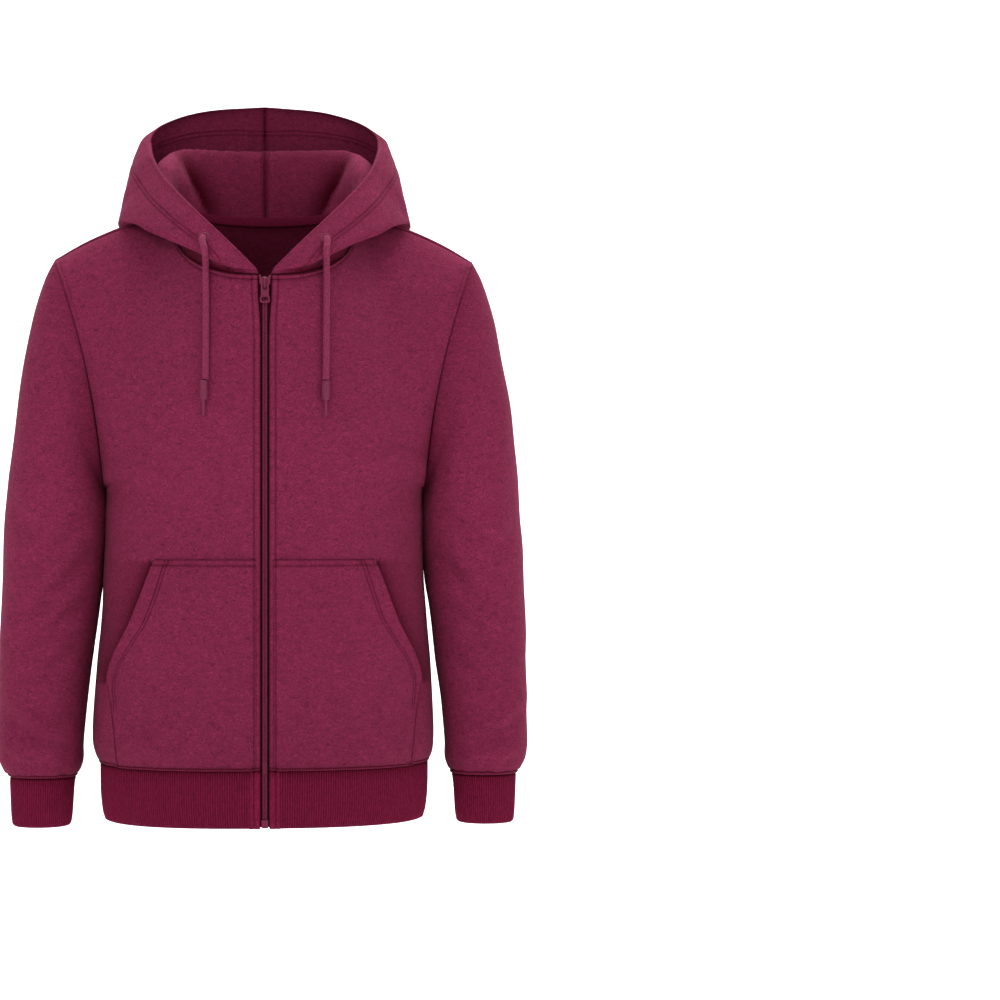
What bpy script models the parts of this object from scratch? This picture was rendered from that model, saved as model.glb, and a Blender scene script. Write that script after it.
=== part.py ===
# Zip-front hooded sweatshirt, filled out with nobody in it. Front faces -Y, +Z is up, metres.
# Origin: between the two shoulder points of the neck seam, where a wearer holds it up.
# left and right are the wearer's: left is +X.
import math

import bmesh
import bpy
import numpy as np
from mathutils import Matrix, Vector

for obj in list(bpy.data.objects):
    bpy.data.objects.remove(obj, do_unlink=True)

MM = 0.001

# ---- named sizes, mm -------------------------------------------------------------------------
FLEECE = 2.2            # wall of the body, sleeves and hood
RIB = 2.6               # wall of the hem band and cuffs
POCKET_WALL = 2.0
SEAM_GAP = 0.4          # clear gap left along every seam
ZIP_EDGE = [            # from the centre line to a front's folded edge; it spreads at the slider
    # z, half
    (-671.0, 5.0), (-130.0, 5.0), (-105.0, 5.8), (-84.0, 7.2), (-59.0, 7.6),
]
UNDERARM_Z = -300.0
HEM_SEAM_Z = -606.0
HEM_Z = -671.0
CUFF_SEAM_Z = -621.0
CUFF_Z = -676.5
RING = 24               # points round a sleeve
ARM_ROWS = RING // 2    # body rows from underarm to shoulder
NECK_FRONT_COLS = 6     # body columns that end on the neck, front and back
NECK_BACK_COLS = 5
SHOULDER_COLS = 4
HOOD_ROWS = 10

# Body below the underarm, one row a level: half width, depth to the front and the back,
# and how square the section is (2 is an ellipse).
BODY_LEVELS = [
    # z, half_width, front, back, square
    (-606.0, 186.5, 138.0, 128.0, 2.45),
    (-597.0, 191.5, 145.5, 135.5, 2.45),
    (-580.0, 194.0, 149.0, 139.0, 2.45),
    (-545.0, 193.0, 149.0, 138.0, 2.42),
    (-495.0, 190.2, 147.0, 135.5, 2.40),
    (-440.0, 185.7, 143.5, 131.5, 2.36),
    (-372.0, 181.0, 139.0, 128.0, 2.32),
    (-300.0, 182.0, 136.0, 127.5, 2.30),
]
# The rib band: it draws the body in and turns under at its lower edge.
BAND_LEVELS = [
    # z, half_width, front, back, square
    (-671.0, 179.5, 132.5, 123.0, 2.45),
    (-664.5, 183.2, 135.5, 126.2, 2.45),
    (-640.0, 186.0, 138.0, 128.5, 2.45),
    (-606.0, 186.5, 138.0, 128.0, 2.45),
]
# Centre lines above the underarm.
CENTRE_FRONT = [
    # z, y
    (-300.0, -136.0), (-240.0, -136.5), (-180.0, -134.0), (-120.0, -127.0), (-59.0, -115.0),
]
CENTRE_BACK = [
    # z, y
    (-300.0, 127.5), (-220.0, 131.0), (-140.0, 127.0), (-70.0, 111.0), (-20.0, 91.0),
    (14.0, 74.0),
]
# Neck seam from centre front round the side neck point to centre back.
NECK_FRONT = [
    # x, y, z
    (7.6, -115.0, -59.0), (33.0, -113.5, -58.0), (52.0, -106.5, -54.5), (72.0, -92.0, -46.5),
    (91.0, -65.0, -31.0), (102.0, -33.0, -7.0), (104.0, 6.0, 25.0),
]
NECK_BACK = [
    (104.0, 6.0, 25.0), (93.0, 36.0, 21.0), (68.0, 58.0, 17.0), (36.0, 70.0, 14.7),
    (0.0, 74.0, 14.0),
]
SHOULDER = [(104.0, 6.0, 25.0), (150.0, 5.0, 9.3), (196.0, 3.5, -9.8), (238.6, 2.0, -35.0)]

# Armhole seam: a leaning loop, scooped towards the body.
ARMHOLE_TOP = (238.6, 2.0, -35.0)
ARMHOLE_LOW = (182.0, 2.0, -300.0)
ARMHOLE_DEPTH = 63.0
ARMHOLE_SCOOP = 12.0

# Sleeve: each ring runs from its outer point to its inner point.
SLEEVE_RINGS = [
    # z_out, x_out, z_in, x_in, half_depth, y_mid, square
    (-60.0, 251.0, -305.0, 183.4, 67.0, 2.0, 2.1),
    (-98.0, 262.8, -310.5, 184.3, 70.0, 2.0, 2.15),
    (-145.0, 272.5, -317.0, 184.6, 72.5, 1.5, 2.2),
    (-203.0, 281.4, -327.0, 184.6, 74.0, 1.0, 2.2),
    (-270.0, 289.4, -343.0, 184.3, 74.0, 0.0, 2.2),
    (-338.0, 294.6, -368.0, 183.0, 72.0, -2.0, 2.2),
    (-395.0, 297.2, -402.0, 184.6, 69.0, -4.0, 2.2),
    (-428.0, 298.6, -428.0, 188.2, 65.5, -5.0, 2.2),
    (-472.0, 300.0, -472.0, 193.8, 62.5, -7.5, 2.2),
    (-518.0, 300.0, -518.0, 198.4, 59.5, -10.0, 2.2),
    (-555.0, 299.6, -555.0, 202.0, 57.5, -12.0, 2.2),
    (-583.0, 299.8, -583.0, 204.4, 56.0, -13.5, 2.2),
    (-601.0, 297.6, -601.0, 204.4, 53.0, -14.5, 2.2),
    (-612.5, 292.3, -612.5, 207.7, 47.0, -15.0, 2.2),
    (-621.0, 287.2, -621.0, 213.7, 40.0, -15.0, 2.2),
]
CUFF_RINGS = [
    # z, x_out, x_in, half_depth
    (-621.0, 287.2, 213.7, 40.0),
    (-632.0, 287.0, 215.4, 39.5),
    (-664.5, 285.6, 217.6, 38.3),
    (-676.5, 284.2, 219.6, 36.8),
]
CUFF_SQUARE = 2.1

# Hood lying open: each row is one line of cloth from the neck seam, over the inner fold, down to
# the outer fold and up to the rim. at: 0 centre front, 0.58 side neck, 1 centre back.
HOOD_INNER = [
    # at, x, y, z
    (0.00, 8.2, -116.8, -56.5), (0.12, 38.5, -116.0, -50.5), (0.24, 66.0, -102.5, -37.0),
    (0.36, 92.0, -75.0, -12.0), (0.47, 112.0, -33.0, 34.0), (0.56, 117.0, 8.0, 69.0),
    (0.66, 110.0, 42.0, 87.5), (0.76, 96.0, 63.0, 96.5), (0.88, 56.0, 77.0, 99.5),
    (1.00, 0.0, 82.0, 100.0),
]
HOOD_OUTER = [
    (0.00, 8.6, -118.6, -55.0), (0.12, 38.0, -120.5, -46.0), (0.24, 72.0, -107.0, -32.0),
    (0.36, 112.0, -72.0, -12.5), (0.47, 149.0, -28.0, 4.5), (0.56, 166.5, 14.0, 9.0),
    (0.66, 167.5, 58.0, 5.0), (0.76, 146.0, 101.0, -8.0), (0.88, 84.0, 133.0, -52.0),
    (1.00, 0.0, 146.0, -84.0),
]
HOOD_RIM = [
    (0.00, 9.4, -118.0, -51.5), (0.12, 32.8, -113.0, -28.0), (0.24, 64.3, -93.0, 3.2),
    (0.36, 92.5, -62.0, 33.0), (0.47, 118.3, -21.0, 64.5), (0.56, 129.5, 13.0, 89.0),
    (0.66, 133.5, 50.0, 109.0), (0.76, 120.0, 80.0, 131.0), (0.88, 70.0, 98.0, 149.5),
    (1.00, 0.0, 103.0, 156.0),
]
# How far the cloth rolls outwards at the inner and outer folds: 0 none, 1 a full fold.
HOOD_ROLL = [
    # at, inner, outer
    (0.00, 0.05, 0.05), (0.12, 0.15, 0.10), (0.24, 0.35, 0.20), (0.36, 0.60, 0.45),
    (0.47, 0.90, 0.75), (0.56, 1.00, 0.95), (0.66, 1.00, 1.00), (1.00, 1.00, 1.00),
]

# Pocket outline on a front: the slanted hand opening, then the sewn side.
POCKET_TOP_Z = -374.0
POCKET_LOW_Z = -604.8
POCKET_INNER_X = 9.5
POCKET_SIDE = [
    # z, x
    (-374.0, 121.0), (-440.0, 146.0), (-512.0, 174.5), (-537.0, 170.5), (-604.8, 163.5),
]
POCKET_SWELL = 8.5      # how far the middle of the opening stands off the front
POCKET_REST = 1.4

# Zip
TAPE_WIDTH, TAPE_THICK = 13.0, 0.9
CHAIN_HALF, CHAIN_THICK = 2.9, 1.7
STOP_HEIGHT = 9.0
SLIDER_TOP_Z, SLIDER_LENGTH = -61.5, 14.0
SLIDER_WIDE, SLIDER_NARROW, SLIDER_THICK = 5.9, 4.3, 3.2
PULL_WIDE, PULL_WAIST, PULL_LENGTH, PULL_THICK = 5.6, 4.4, 19.6, 1.3

# Cords, eyelets and their metal ends
EYELET_OUT, EYELET_IN, EYELET_THICK = 6.5, 3.9, 1.4
CORD_RADIUS = 3.7
AGLET_RADIUS, AGLET_LENGTH, PIN_RADIUS, PIN_LENGTH = 4.5, 21.5, 1.65, 17.5
EYELET_AT = (67.2, -17.5)
CORD_PATH = [
    # x, z, clear of the cloth behind
    (67.5, -32.0, 9.8), (67.6, -45.0, 9.4), (67.6, -60.0, 9.6),
    (67.4, -78.0, 7.4), (67.2, -98.0, 5.8), (67.1, -120.0, 5.3), (67.0, -146.0, 5.3),
    (67.0, -176.0, 5.3),
]


# ---- small helpers ---------------------------------------------------------------------------
def through(rows, at):
    """A smooth curve through the rows, read at the given values of their first column."""
    rows = np.array(sorted(rows), float)
    x, y = rows[:, 0], rows[:, 1:]
    step = np.diff(x)[:, None]
    rise = np.diff(y, axis=0) / step
    slope = np.zeros_like(y)
    slope[0], slope[-1] = rise[0], rise[-1]
    if len(x) > 2:
        slope[1:-1] = (rise[:-1] * step[1:] + rise[1:] * step[:-1]) / (step[1:] + step[:-1])
        least = 3 * np.minimum(np.abs(rise[:-1]), np.abs(rise[1:]))
        slope[1:-1] = np.clip(slope[1:-1], -least, least) * (rise[:-1] * rise[1:] > 0)
    at = np.clip(np.asarray(at, float), x[0], x[-1])
    k = np.clip(np.searchsorted(x, at, side="right") - 1, 0, len(x) - 2)
    h = (x[k + 1] - x[k])[:, None]
    t = ((at - x[k])[:, None]) / h
    return (
        (1 + 2 * t) * (1 - t) ** 2 * y[k] + t * (1 - t) ** 2 * h * slope[k]
        + t * t * (3 - 2 * t) * y[k + 1] + t * t * (t - 1) * h * slope[k + 1]
    )


def evenly(points, count):
    """count + 1 points at even steps of length along a smooth curve through the points."""
    points = np.array(points, float)
    run = np.concatenate([[0], np.cumsum(np.linalg.norm(np.diff(points, axis=0), axis=1))])
    fine = through(np.column_stack([run, points]).tolist(), np.linspace(0, run[-1], 400))
    run = np.concatenate([[0], np.cumsum(np.linalg.norm(np.diff(fine, axis=0), axis=1))])
    at = np.linspace(0, run[-1], count + 1)
    return np.column_stack([np.interp(at, run, fine[:, k]) for k in range(3)])


def mirrored(grid):
    """The same cloth on the other side, its columns the other way round."""
    return (grid * np.array([-1.0, 1, 1]))[:, ::-1]


def quarter(level, side, columns, first_x):
    """One level of the body from the centre line round to the side seam."""
    z, half, front, back, square = level
    deep = -front if side == "front" else back
    start = math.asin(min(1.0, (first_x / half) ** (square / 2)))
    turn = np.linspace(start, math.pi / 2, columns + 1)
    turn[-1] = math.pi / 2
    across = half * np.sin(turn) ** (2 / square)
    deepness = deep * np.clip(np.cos(turn), 0, 1) ** (2 / square)
    deepness[-1] = 0.0
    return np.column_stack([across, deepness + 2.0 * np.sin(turn) ** 4, np.full(columns + 1, z)])


def armhole(turn):
    """A point of the armhole seam: turn 0 at the shoulder, pi at the underarm, front first."""
    top, low = np.array(ARMHOLE_TOP), np.array(ARMHOLE_LOW)
    turn = np.asarray(turn, float)[:, None]
    c, s = np.cos(turn), np.sin(turn)
    centre, reach = (top + low) / 2, (top - low) / 2
    depth = ARMHOLE_DEPTH * (1 - 0.10 * c)
    return (
        centre + reach * c + np.array([0, -1.0, 0]) * depth * s
        - np.array([1.0, 0, 0]) * ARMHOLE_SCOOP * s * s
    )


def coons(low, high, inner, outer, pull=2.2):
    """A patch between four edges; pull keeps the upper edge's shape near the top."""
    rows, cols = len(inner), len(low)
    s = np.linspace(0, 1, cols)[None, :, None]
    r = np.linspace(0, 1, rows)[:, None, None]
    f = r ** pull
    s_edge = s ** pull
    ends0 = (1 - f) * low[0] + f * high[0]
    ends1 = (1 - f) * low[-1] + f * high[-1]
    return (
        (1 - s_edge) * inner[:, None] + s_edge * outer[:, None]
        + (1 - f) * low[None] + f * high[None] - (1 - s_edge) * ends0 - s_edge * ends1
    )


# ---- the cloth surfaces (outer face), as grids of rows by columns ---------------------------
def half_body(side):
    columns = (NECK_FRONT_COLS if side == "front" else NECK_BACK_COLS) + SHOULDER_COLS
    first_x = ZIP_EDGE[0][1] if side == "front" else 0.0
    lower = np.array([quarter(level, side, columns, first_x) for level in BODY_LEVELS])
    if side == "front":
        neck = evenly(NECK_FRONT, NECK_FRONT_COLS)
        z = np.linspace(UNDERARM_Z, CENTRE_FRONT[-1][0], ARM_ROWS + 1)
        y = through(CENTRE_FRONT, z)[:, 0]
        turn = np.linspace(math.pi, 0, ARM_ROWS + 1)
    else:
        neck = evenly(NECK_BACK[::-1], NECK_BACK_COLS)
        z = np.linspace(UNDERARM_Z, CENTRE_BACK[-1][0], ARM_ROWS + 1)
        y = through(CENTRE_BACK, z)[:, 0]
        turn = np.linspace(math.pi, 2 * math.pi, ARM_ROWS + 1)
    across = through(ZIP_EDGE, z)[:, 0] if side == "front" else np.zeros(len(z))
    inner = np.column_stack([across, y, z])
    high = np.concatenate([neck, evenly(SHOULDER, SHOULDER_COLS)[1:]])
    inner[0], inner[-1] = lower[-1][0], neck[0]
    outer = armhole(turn)
    outer[0], outer[-1] = lower[-1][-1], high[-1]
    upper = coons(lower[-1], high, inner, outer)
    return np.concatenate([lower, upper[1:]])


def sleeve_surface():
    turn = np.linspace(0, 2 * math.pi, RING, endpoint=False)
    rings = [armhole(turn)]
    rings[0][RING // 2] = half_body("front")[len(BODY_LEVELS) - 1][-1]
    c, s = np.cos(turn), np.sin(turn)
    for z_out, x_out, z_in, x_in, deep, y_mid, square in SLEEVE_RINGS:
        far, near = np.array([x_out, y_mid, z_out]), np.array([x_in, y_mid, z_in])
        along = np.sign(c) * np.abs(c) ** (2 / square)
        aside = np.sign(s) * np.abs(s) ** (2 / square)
        rings.append(
            (far + near) / 2 + along[:, None] * (far - near) / 2
            - aside[:, None] * np.array([0, deep, 0])
        )
    return np.array(rings)


def cuff_surface():
    turn = np.linspace(0, 2 * math.pi, RING, endpoint=False)
    c, s = np.cos(turn), np.sin(turn)
    rings = []
    for k, (z, x_out, x_in, deep) in enumerate(CUFF_RINGS):
        square = SLEEVE_RINGS[-1][6] if k == 0 else CUFF_SQUARE
        along = np.sign(c) * np.abs(c) ** (2 / square) * (x_out - x_in) / 2
        aside = -np.sign(s) * np.abs(s) ** (2 / square) * deep
        y_mid = SLEEVE_RINGS[-1][5]
        rings.append(np.column_stack([(x_out + x_in) / 2 + along, y_mid + aside, np.full(RING, z)]))
    return np.array(rings)


def hood_surface():
    """Rows from the neck seam to the rim, columns from centre front to centre back."""
    front = evenly(NECK_FRONT, NECK_FRONT_COLS)
    back = evenly(NECK_BACK, NECK_BACK_COLS)
    corners = np.concatenate([front, back[1:]])
    neck = [corners[0]]
    for a, b in zip(corners[:-1], corners[1:]):
        neck += [(a + b) / 2, b]
    neck = np.array(neck)
    run = np.concatenate([[0], np.cumsum(np.linalg.norm(np.diff(neck, axis=0), axis=1))])
    at = run / run[-1]
    inner, outer, rim = through(HOOD_INNER, at), through(HOOD_OUTER, at), through(HOOD_RIM, at)
    roll = through(HOOD_ROLL, at)
    away = outer - neck
    away[:, 2] = 0
    away[0] = (0.2, -1, 0)
    away[-1] = (0, 1, 0)
    away /= np.linalg.norm(away, axis=1)[:, None]
    up = np.array([0, 0, 1.0])
    lines = []
    for n, f, b, r, o, (fold_in, fold_out) in zip(neck, inner, outer, rim, away, roll):
        at_neck = up * 0.9 + o * 0.1
        at_inner = o * fold_in + up * (1 - fold_in)
        at_outer = o * fold_out + up * (1 - fold_out)
        at_rim = up * 0.9 - o * 0.5
        legs = [(n, f, at_neck, at_inner, 1.0, 1.0), (f, b, at_inner, at_outer, 1.0, 0.9),
                (b, r, at_outer, at_rim, 0.55, 1.0)]
        curve = []
        for p, q, a, c, wa, wc in legs:
            size = np.linalg.norm(q - p)
            # A fold turns over within a finger's width, whatever the length of its legs.
            ma, mc = a * min(size, 60.0) * wa, c * min(size, 60.0) * wc
            t = np.linspace(0, 1, 60)[:, None]
            curve.append(
                (1 + 2 * t) * (1 - t) ** 2 * p + t * (1 - t) ** 2 * ma
                + t * t * (3 - 2 * t) * q + t * t * (t - 1) * mc
            )
        fine = np.concatenate([curve[0], curve[1][1:], curve[2][1:]])
        turn = np.diff(fine, axis=0)
        length = np.linalg.norm(turn, axis=1)
        bend = np.zeros(len(fine))
        unit = turn / length[:, None]
        bend[1:-1] = np.arccos(np.clip((unit[1:] * unit[:-1]).sum(1), -1, 1))
        weight = length / length.sum() + 0.5 * (bend[1:] + bend[:-1]) / 2 / max(bend.sum(), 1e-6)
        run_line = np.concatenate([[0], np.cumsum(weight)])
        where = np.linspace(0, run_line[-1], HOOD_ROWS + 1)
        lines.append(np.column_stack([np.interp(where, run_line, fine[:, k]) for k in range(3)]))
    grid = np.array(lines).transpose(1, 0, 2)
    grid[0] = neck
    return grid


# ---- meshes ----------------------------------------------------------------------------------
def grid_faces(rows, cols, ring):
    faces = []
    for i in range(rows - 1):
        for j in range(cols if ring else cols - 1):
            k = (j + 1) % cols
            faces.append((i * cols + j, i * cols + k, (i + 1) * cols + k, (i + 1) * cols + j))
    return faces


def shared_normals(pieces):
    """Outward normals with every seam's two edges given the same ones."""
    points = np.concatenate([p.reshape(-1, 3) for p, ring in pieces])
    _, same = np.unique(np.round(points * 50).astype(int), axis=0, return_inverse=True)
    same = same.reshape(-1)
    total = np.zeros((same.max() + 1, 3))
    start = 0
    for p, ring in pieces:
        rows, cols = p.shape[:2]
        flat = p.reshape(-1, 3)
        for face in grid_faces(rows, cols, ring):
            corner = flat[list(face)]
            normal = np.cross(corner[2] - corner[0], corner[3] - corner[1])
            size = np.linalg.norm(normal)
            if size > 0:
                for v in face:
                    total[same[start + v]] += normal / size
        start += rows * cols
    total /= np.maximum(np.linalg.norm(total, axis=1), 1e-9)[:, None]
    found, start = [], 0
    for p, ring in pieces:
        count = p.shape[0] * p.shape[1]
        found.append(total[same[start:start + count]].reshape(p.shape))
        start += count
    return found


def pulled_in(grid, ring, edges):
    """The grid with the named edges drawn back half a seam gap."""
    grid = grid.copy()
    back = SEAM_GAP / 2

    def draw(edge, inside):
        step = inside - edge
        return edge + step / np.maximum(np.linalg.norm(step, axis=-1), 1e-9)[..., None] * back

    if "low" in edges:
        grid[0] = draw(grid[0], grid[1])
    if "high" in edges:
        grid[-1] = draw(grid[-1], grid[-2])
    if not ring and "first" in edges:
        grid[:, 0] = draw(grid[:, 0], grid[:, 1])
    if not ring and "last" in edges:
        grid[:, -1] = draw(grid[:, -1], grid[:, -2])
    return grid


def new_object(name, points, faces, colour, metal=0.0, rough=0.9, origin=(0, 0, 0)):
    mesh = bpy.data.meshes.new(name)
    origin = np.array(origin, float)
    mesh.from_pydata(((np.asarray(points) - origin) * MM).tolist(), [], faces)
    mesh.update()
    obj = bpy.data.objects.new(name, mesh)
    obj.location = tuple(origin * MM)
    bpy.context.scene.collection.objects.link(obj)
    add_material(obj, name, colour, metal, rough)
    return obj


def add_material(obj, name, colour, metal, rough):
    material = bpy.data.materials.new(name + "_material")
    material.use_nodes = True
    shader = material.node_tree.nodes["Principled BSDF"]
    shader.inputs["Base Color"].default_value = (*colour, 1)
    shader.inputs["Metallic"].default_value = metal
    shader.inputs["Roughness"].default_value = rough
    obj.data.materials.append(material)


def cloth(name, grid, normals, wall, colour, ring=False):
    """A closed wall: the outer face, the inner face a wall's thickness in, and the edges."""
    rows, cols = grid.shape[:2]
    count = rows * cols
    inside = grid - normals * wall
    points = np.concatenate([grid.reshape(-1, 3), inside.reshape(-1, 3)])
    outer = []
    for a, b, c, d in grid_faces(rows, cols, ring):
        # Both faces are split along the same, shorter diagonal, so that the wall stays even.
        if np.linalg.norm(points[a] - points[c]) <= np.linalg.norm(points[b] - points[d]) + 1e-4:
            outer += [(a, b, c), (a, c, d)]
        else:
            outer += [(a, b, d), (b, c, d)]
    faces = list(outer) + [tuple(v + count for v in face[::-1]) for face in outer]
    span = cols if ring else cols - 1
    for j in range(span):
        k = (j + 1) % cols
        faces.append((j, j + count, k + count, k))
        top = (rows - 1) * cols
        faces.append((top + j, top + k, top + k + count, top + j + count))
    if not ring:
        for i in range(rows - 1):
            a, b = i * cols, (i + 1) * cols
            faces.append((a, b, b + count, a + count))
            a, b = a + cols - 1, b + cols - 1
            faces.append((a, a + count, b + count, b))
    return new_object(name, points, faces, colour)


WINE = (0.165, 0.020, 0.055)
WINE_RIB = (0.135, 0.014, 0.042)
WINE_METAL = (0.20, 0.05, 0.09)

# Columns of every left piece run outwards, so that the same face order points outwards.
front_left = half_body("front")
front_right = mirrored(front_left)
back_left = half_body("back")[:, ::-1]
back_whole = np.concatenate([back_left, mirrored(back_left)[:, 1:]], axis=1)
sleeve_left = sleeve_surface()
sleeve_right = sleeve_left * np.array([-1.0, 1, 1])
cuff_left = cuff_surface()
cuff_right = cuff_left * np.array([-1.0, 1, 1])
band = []
for level in BAND_LEVELS:
    front = quarter(level, "front", NECK_FRONT_COLS + SHOULDER_COLS, ZIP_EDGE[0][1])
    back = quarter(level, "back", NECK_BACK_COLS + SHOULDER_COLS, 0.0)
    half = np.concatenate([front, back[::-1][1:]])
    band.append(np.concatenate([half, (half * np.array([-1.0, 1, 1]))[::-1][1:]]))
band = np.array(band)
hood_left = hood_surface()
hood_right = mirrored(hood_left)

# Sleeve rings run front first from the shoulder; flipped where that points inwards.
PIECES = {
    "front_left": (front_left, False, FLEECE, WINE, ("low", "high", "first", "last")),
    "front_right": (front_right, False, FLEECE, WINE, ("low", "high", "first", "last")),
    "back": (back_whole, False, FLEECE, WINE, ("low", "high", "first", "last")),
    "sleeve_left": (sleeve_left, True, FLEECE, WINE, ("low", "high")),
    "sleeve_right": (sleeve_right[:, ::-1], True, FLEECE, WINE, ("low", "high")),
    "cuff_left": (cuff_left, True, RIB, WINE_RIB, ("low",)),
    "cuff_right": (cuff_right[:, ::-1], True, RIB, WINE_RIB, ("low",)),
    "hem_band": (band, False, RIB, WINE_RIB, ("high", "first", "last")),
    "hood_left": (hood_left, False, FLEECE, WINE, ("low", "last")),
    "hood_right": (hood_right, False, FLEECE, WINE, ("low", "first")),
}


def points_out(grid, ring, about):
    """Whether the face order turns outwards, from the first row's normals."""
    total = 0.0
    rows, cols = grid.shape[:2]
    flat = grid.reshape(-1, 3)
    for face in grid_faces(min(rows, 2), cols, ring):
        corner = flat[list(face)]
        normal = np.cross(corner[2] - corner[0], corner[3] - corner[1])
        total += float(normal @ (corner.mean(0) - about))
    return total > 0


ABOUT = {
    "sleeve_left": (240.0, 0, -170.0), "sleeve_right": (-240.0, 0, -170.0),
    "cuff_left": (256.0, -15, -650.0), "cuff_right": (-256.0, -15, -650.0),
    "hood_left": (0.0, 0, 20.0), "hood_right": (0.0, 0, 20.0),
}
for name, (grid, ring, wall, colour, edges) in list(PIECES.items()):
    centre = np.array(ABOUT.get(name, (0.0, 0.0, float(grid[0, :, 2].mean()))))
    if name.startswith("sleeve"):
        turned = grid[-3:]
        centre = np.array([256.0 * (1 if name.endswith("left") else -1), -15.0, -600.0])
    else:
        turned = grid
    if not points_out(turned, ring, centre):
        grid = grid[:, ::-1]
        if "first" in edges and "last" not in edges:
            edges = tuple("last" if e == "first" else e for e in edges)
        elif "last" in edges and "first" not in edges:
            edges = tuple("first" if e == "last" else e for e in edges)
        PIECES[name] = (grid, ring, wall, colour, edges)

NORMALS = shared_normals([(grid, ring) for grid, ring, *_ in PIECES.values()])
UNDERARM = np.array([ARMHOLE_LOW[0], ARMHOLE_LOW[1], ARMHOLE_LOW[2]])
for (name, (grid, ring, wall, colour, edges)), normals in zip(PIECES.items(), NORMALS):
    near = np.linalg.norm(np.abs(grid) * [1, 0, 1] - np.abs(UNDERARM) * [1, 0, 1], axis=-1) < 0.5
    normals[near] = (0, 0, -1)
    cloth(name, pulled_in(grid, ring, edges), normals, wall, colour, ring)


# ---- what lies on a panel is made from its surface, moved out --------------------------------
def front_point(x, z):
    """A point of the left front's outer face, and the way out from it, below the underarm."""
    half, front, _, square = through([row for row in BODY_LEVELS], [z])[0]

    def depth(x, half, front, square):
        share = min(max(x / half, 0.0), 0.999)
        sine = share ** (square / 2)
        return -front * (1 - share ** square) ** (1 / square) + 2.0 * sine ** 4

    y = depth(x, half, front, square)
    above = through([row for row in BODY_LEVELS], [z + 2])[0]
    below = through([row for row in BODY_LEVELS], [z - 2])[0]
    slope_x = (depth(x + 1, half, front, square) - depth(x - 1, half, front, square)) / 2
    slope_z = (depth(x, above[0], above[1], above[3]) - depth(x, below[0], below[1], below[3])) / 4
    out = np.array([slope_x, -1.0, slope_z])
    return np.array([x, y, z]), out / np.linalg.norm(out)


def centre_y(z):
    """Depth of the centre front line at a height, straight between the fronts' levels."""
    rows = [(row[0], -row[2]) for row in BAND_LEVELS[:-1] + BODY_LEVELS]
    upper = np.linspace(UNDERARM_Z, CENTRE_FRONT[-1][0], ARM_ROWS + 1)[1:]
    rows += list(zip(upper, through(CENTRE_FRONT, upper)[:, 0]))
    level, depth = np.array(rows).T
    return np.interp(np.atleast_1d(np.asarray(z, float)), level, depth)


def pocket_surface():
    levels = np.array([POCKET_LOW_Z, -597.0, -580.0, -545.0, -512.0, -480.0, -440.0, -407.0,
                       POCKET_TOP_Z])
    side = through(POCKET_SIDE, levels)[:, 0]
    grid, out = [], []
    for z, edge in zip(levels, side):
        up = (z - POCKET_LOW_Z) / (POCKET_TOP_Z - POCKET_LOW_Z)
        # The slanted opening swells from the sewn side's top to the top seam.
        low = (-512.0 - POCKET_LOW_Z) / (POCKET_TOP_Z - POCKET_LOW_Z)
        mouth = math.sin(math.pi * min(max((up - low * 0.75) / (1 - low * 0.75), 0), 1))
        row, way = [], []
        for s in (0, 0.2, 0.4, 0.58, 0.74, 0.88, 1.0):
            point, normal = front_point(POCKET_INNER_X + (edge - POCKET_INNER_X) * s, z)
            body = math.sin(math.pi * min(s, 1.0)) * math.sin(math.pi * up) * 0.45
            forward = normal * (0, 1, 1) / np.linalg.norm(normal * (0, 1, 1))
            row.append(point + normal * (POCKET_REST + POCKET_WALL)
                       + forward * POCKET_SWELL * max(mouth * s ** 1.3, body))
            way.append(normal)
        grid.append(row)
        out.append(way)
    return np.array(grid), np.array(out)


pocket, pocket_out = pocket_surface()
flip = np.array([-1.0, 1, 1])
cloth("pocket_left", pocket, pocket_out, POCKET_WALL, WINE)
cloth("pocket_right", (pocket * flip)[:, ::-1], (pocket_out * flip)[:, ::-1], POCKET_WALL, WINE)

# Neck tape inside the back of the neck, over the seam.
neck_line = evenly(NECK_BACK, NECK_BACK_COLS)[1:]
neck_line = np.concatenate([neck_line, (neck_line * flip)[::-1][1:]])
inward = -neck_line.copy()
inward[:, 1] *= 1.25
inward[:, 2] = 0
inward /= np.linalg.norm(inward, axis=1)[:, None]
tape_rows = np.array([neck_line + inward * (FLEECE + 2.0) + np.array([0, 0, lift])
                      for lift in (-2.0, 2.0, 6.0)])
tape_in = np.repeat(-inward[None], 3, axis=0)
cloth("neck_tape", tape_rows, tape_in, 1.0, WINE_RIB)


# ---- zip -------------------------------------------------------------------------------------
def strip(name, x0, x1, z_levels, lift, thick, colour):
    """A strip up the centre front, lift behind the fronts' outer face, thick deep."""
    z = np.array(z_levels, float)
    y = centre_y(z)
    slope = (centre_y(z + 1) - centre_y(z - 1)) / 2
    back = np.column_stack([np.zeros(len(z)), np.ones(len(z)), -slope])
    back /= np.linalg.norm(back, axis=1)[:, None]
    face = np.column_stack([np.zeros(len(z)), y, z]) + back * lift
    grid = np.array([face + np.array([x, 0, 0]) for x in (x0, x1)]).transpose(1, 0, 2)
    return cloth(name, grid, -np.repeat(back[:, None], 2, axis=1), thick, colour)


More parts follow.
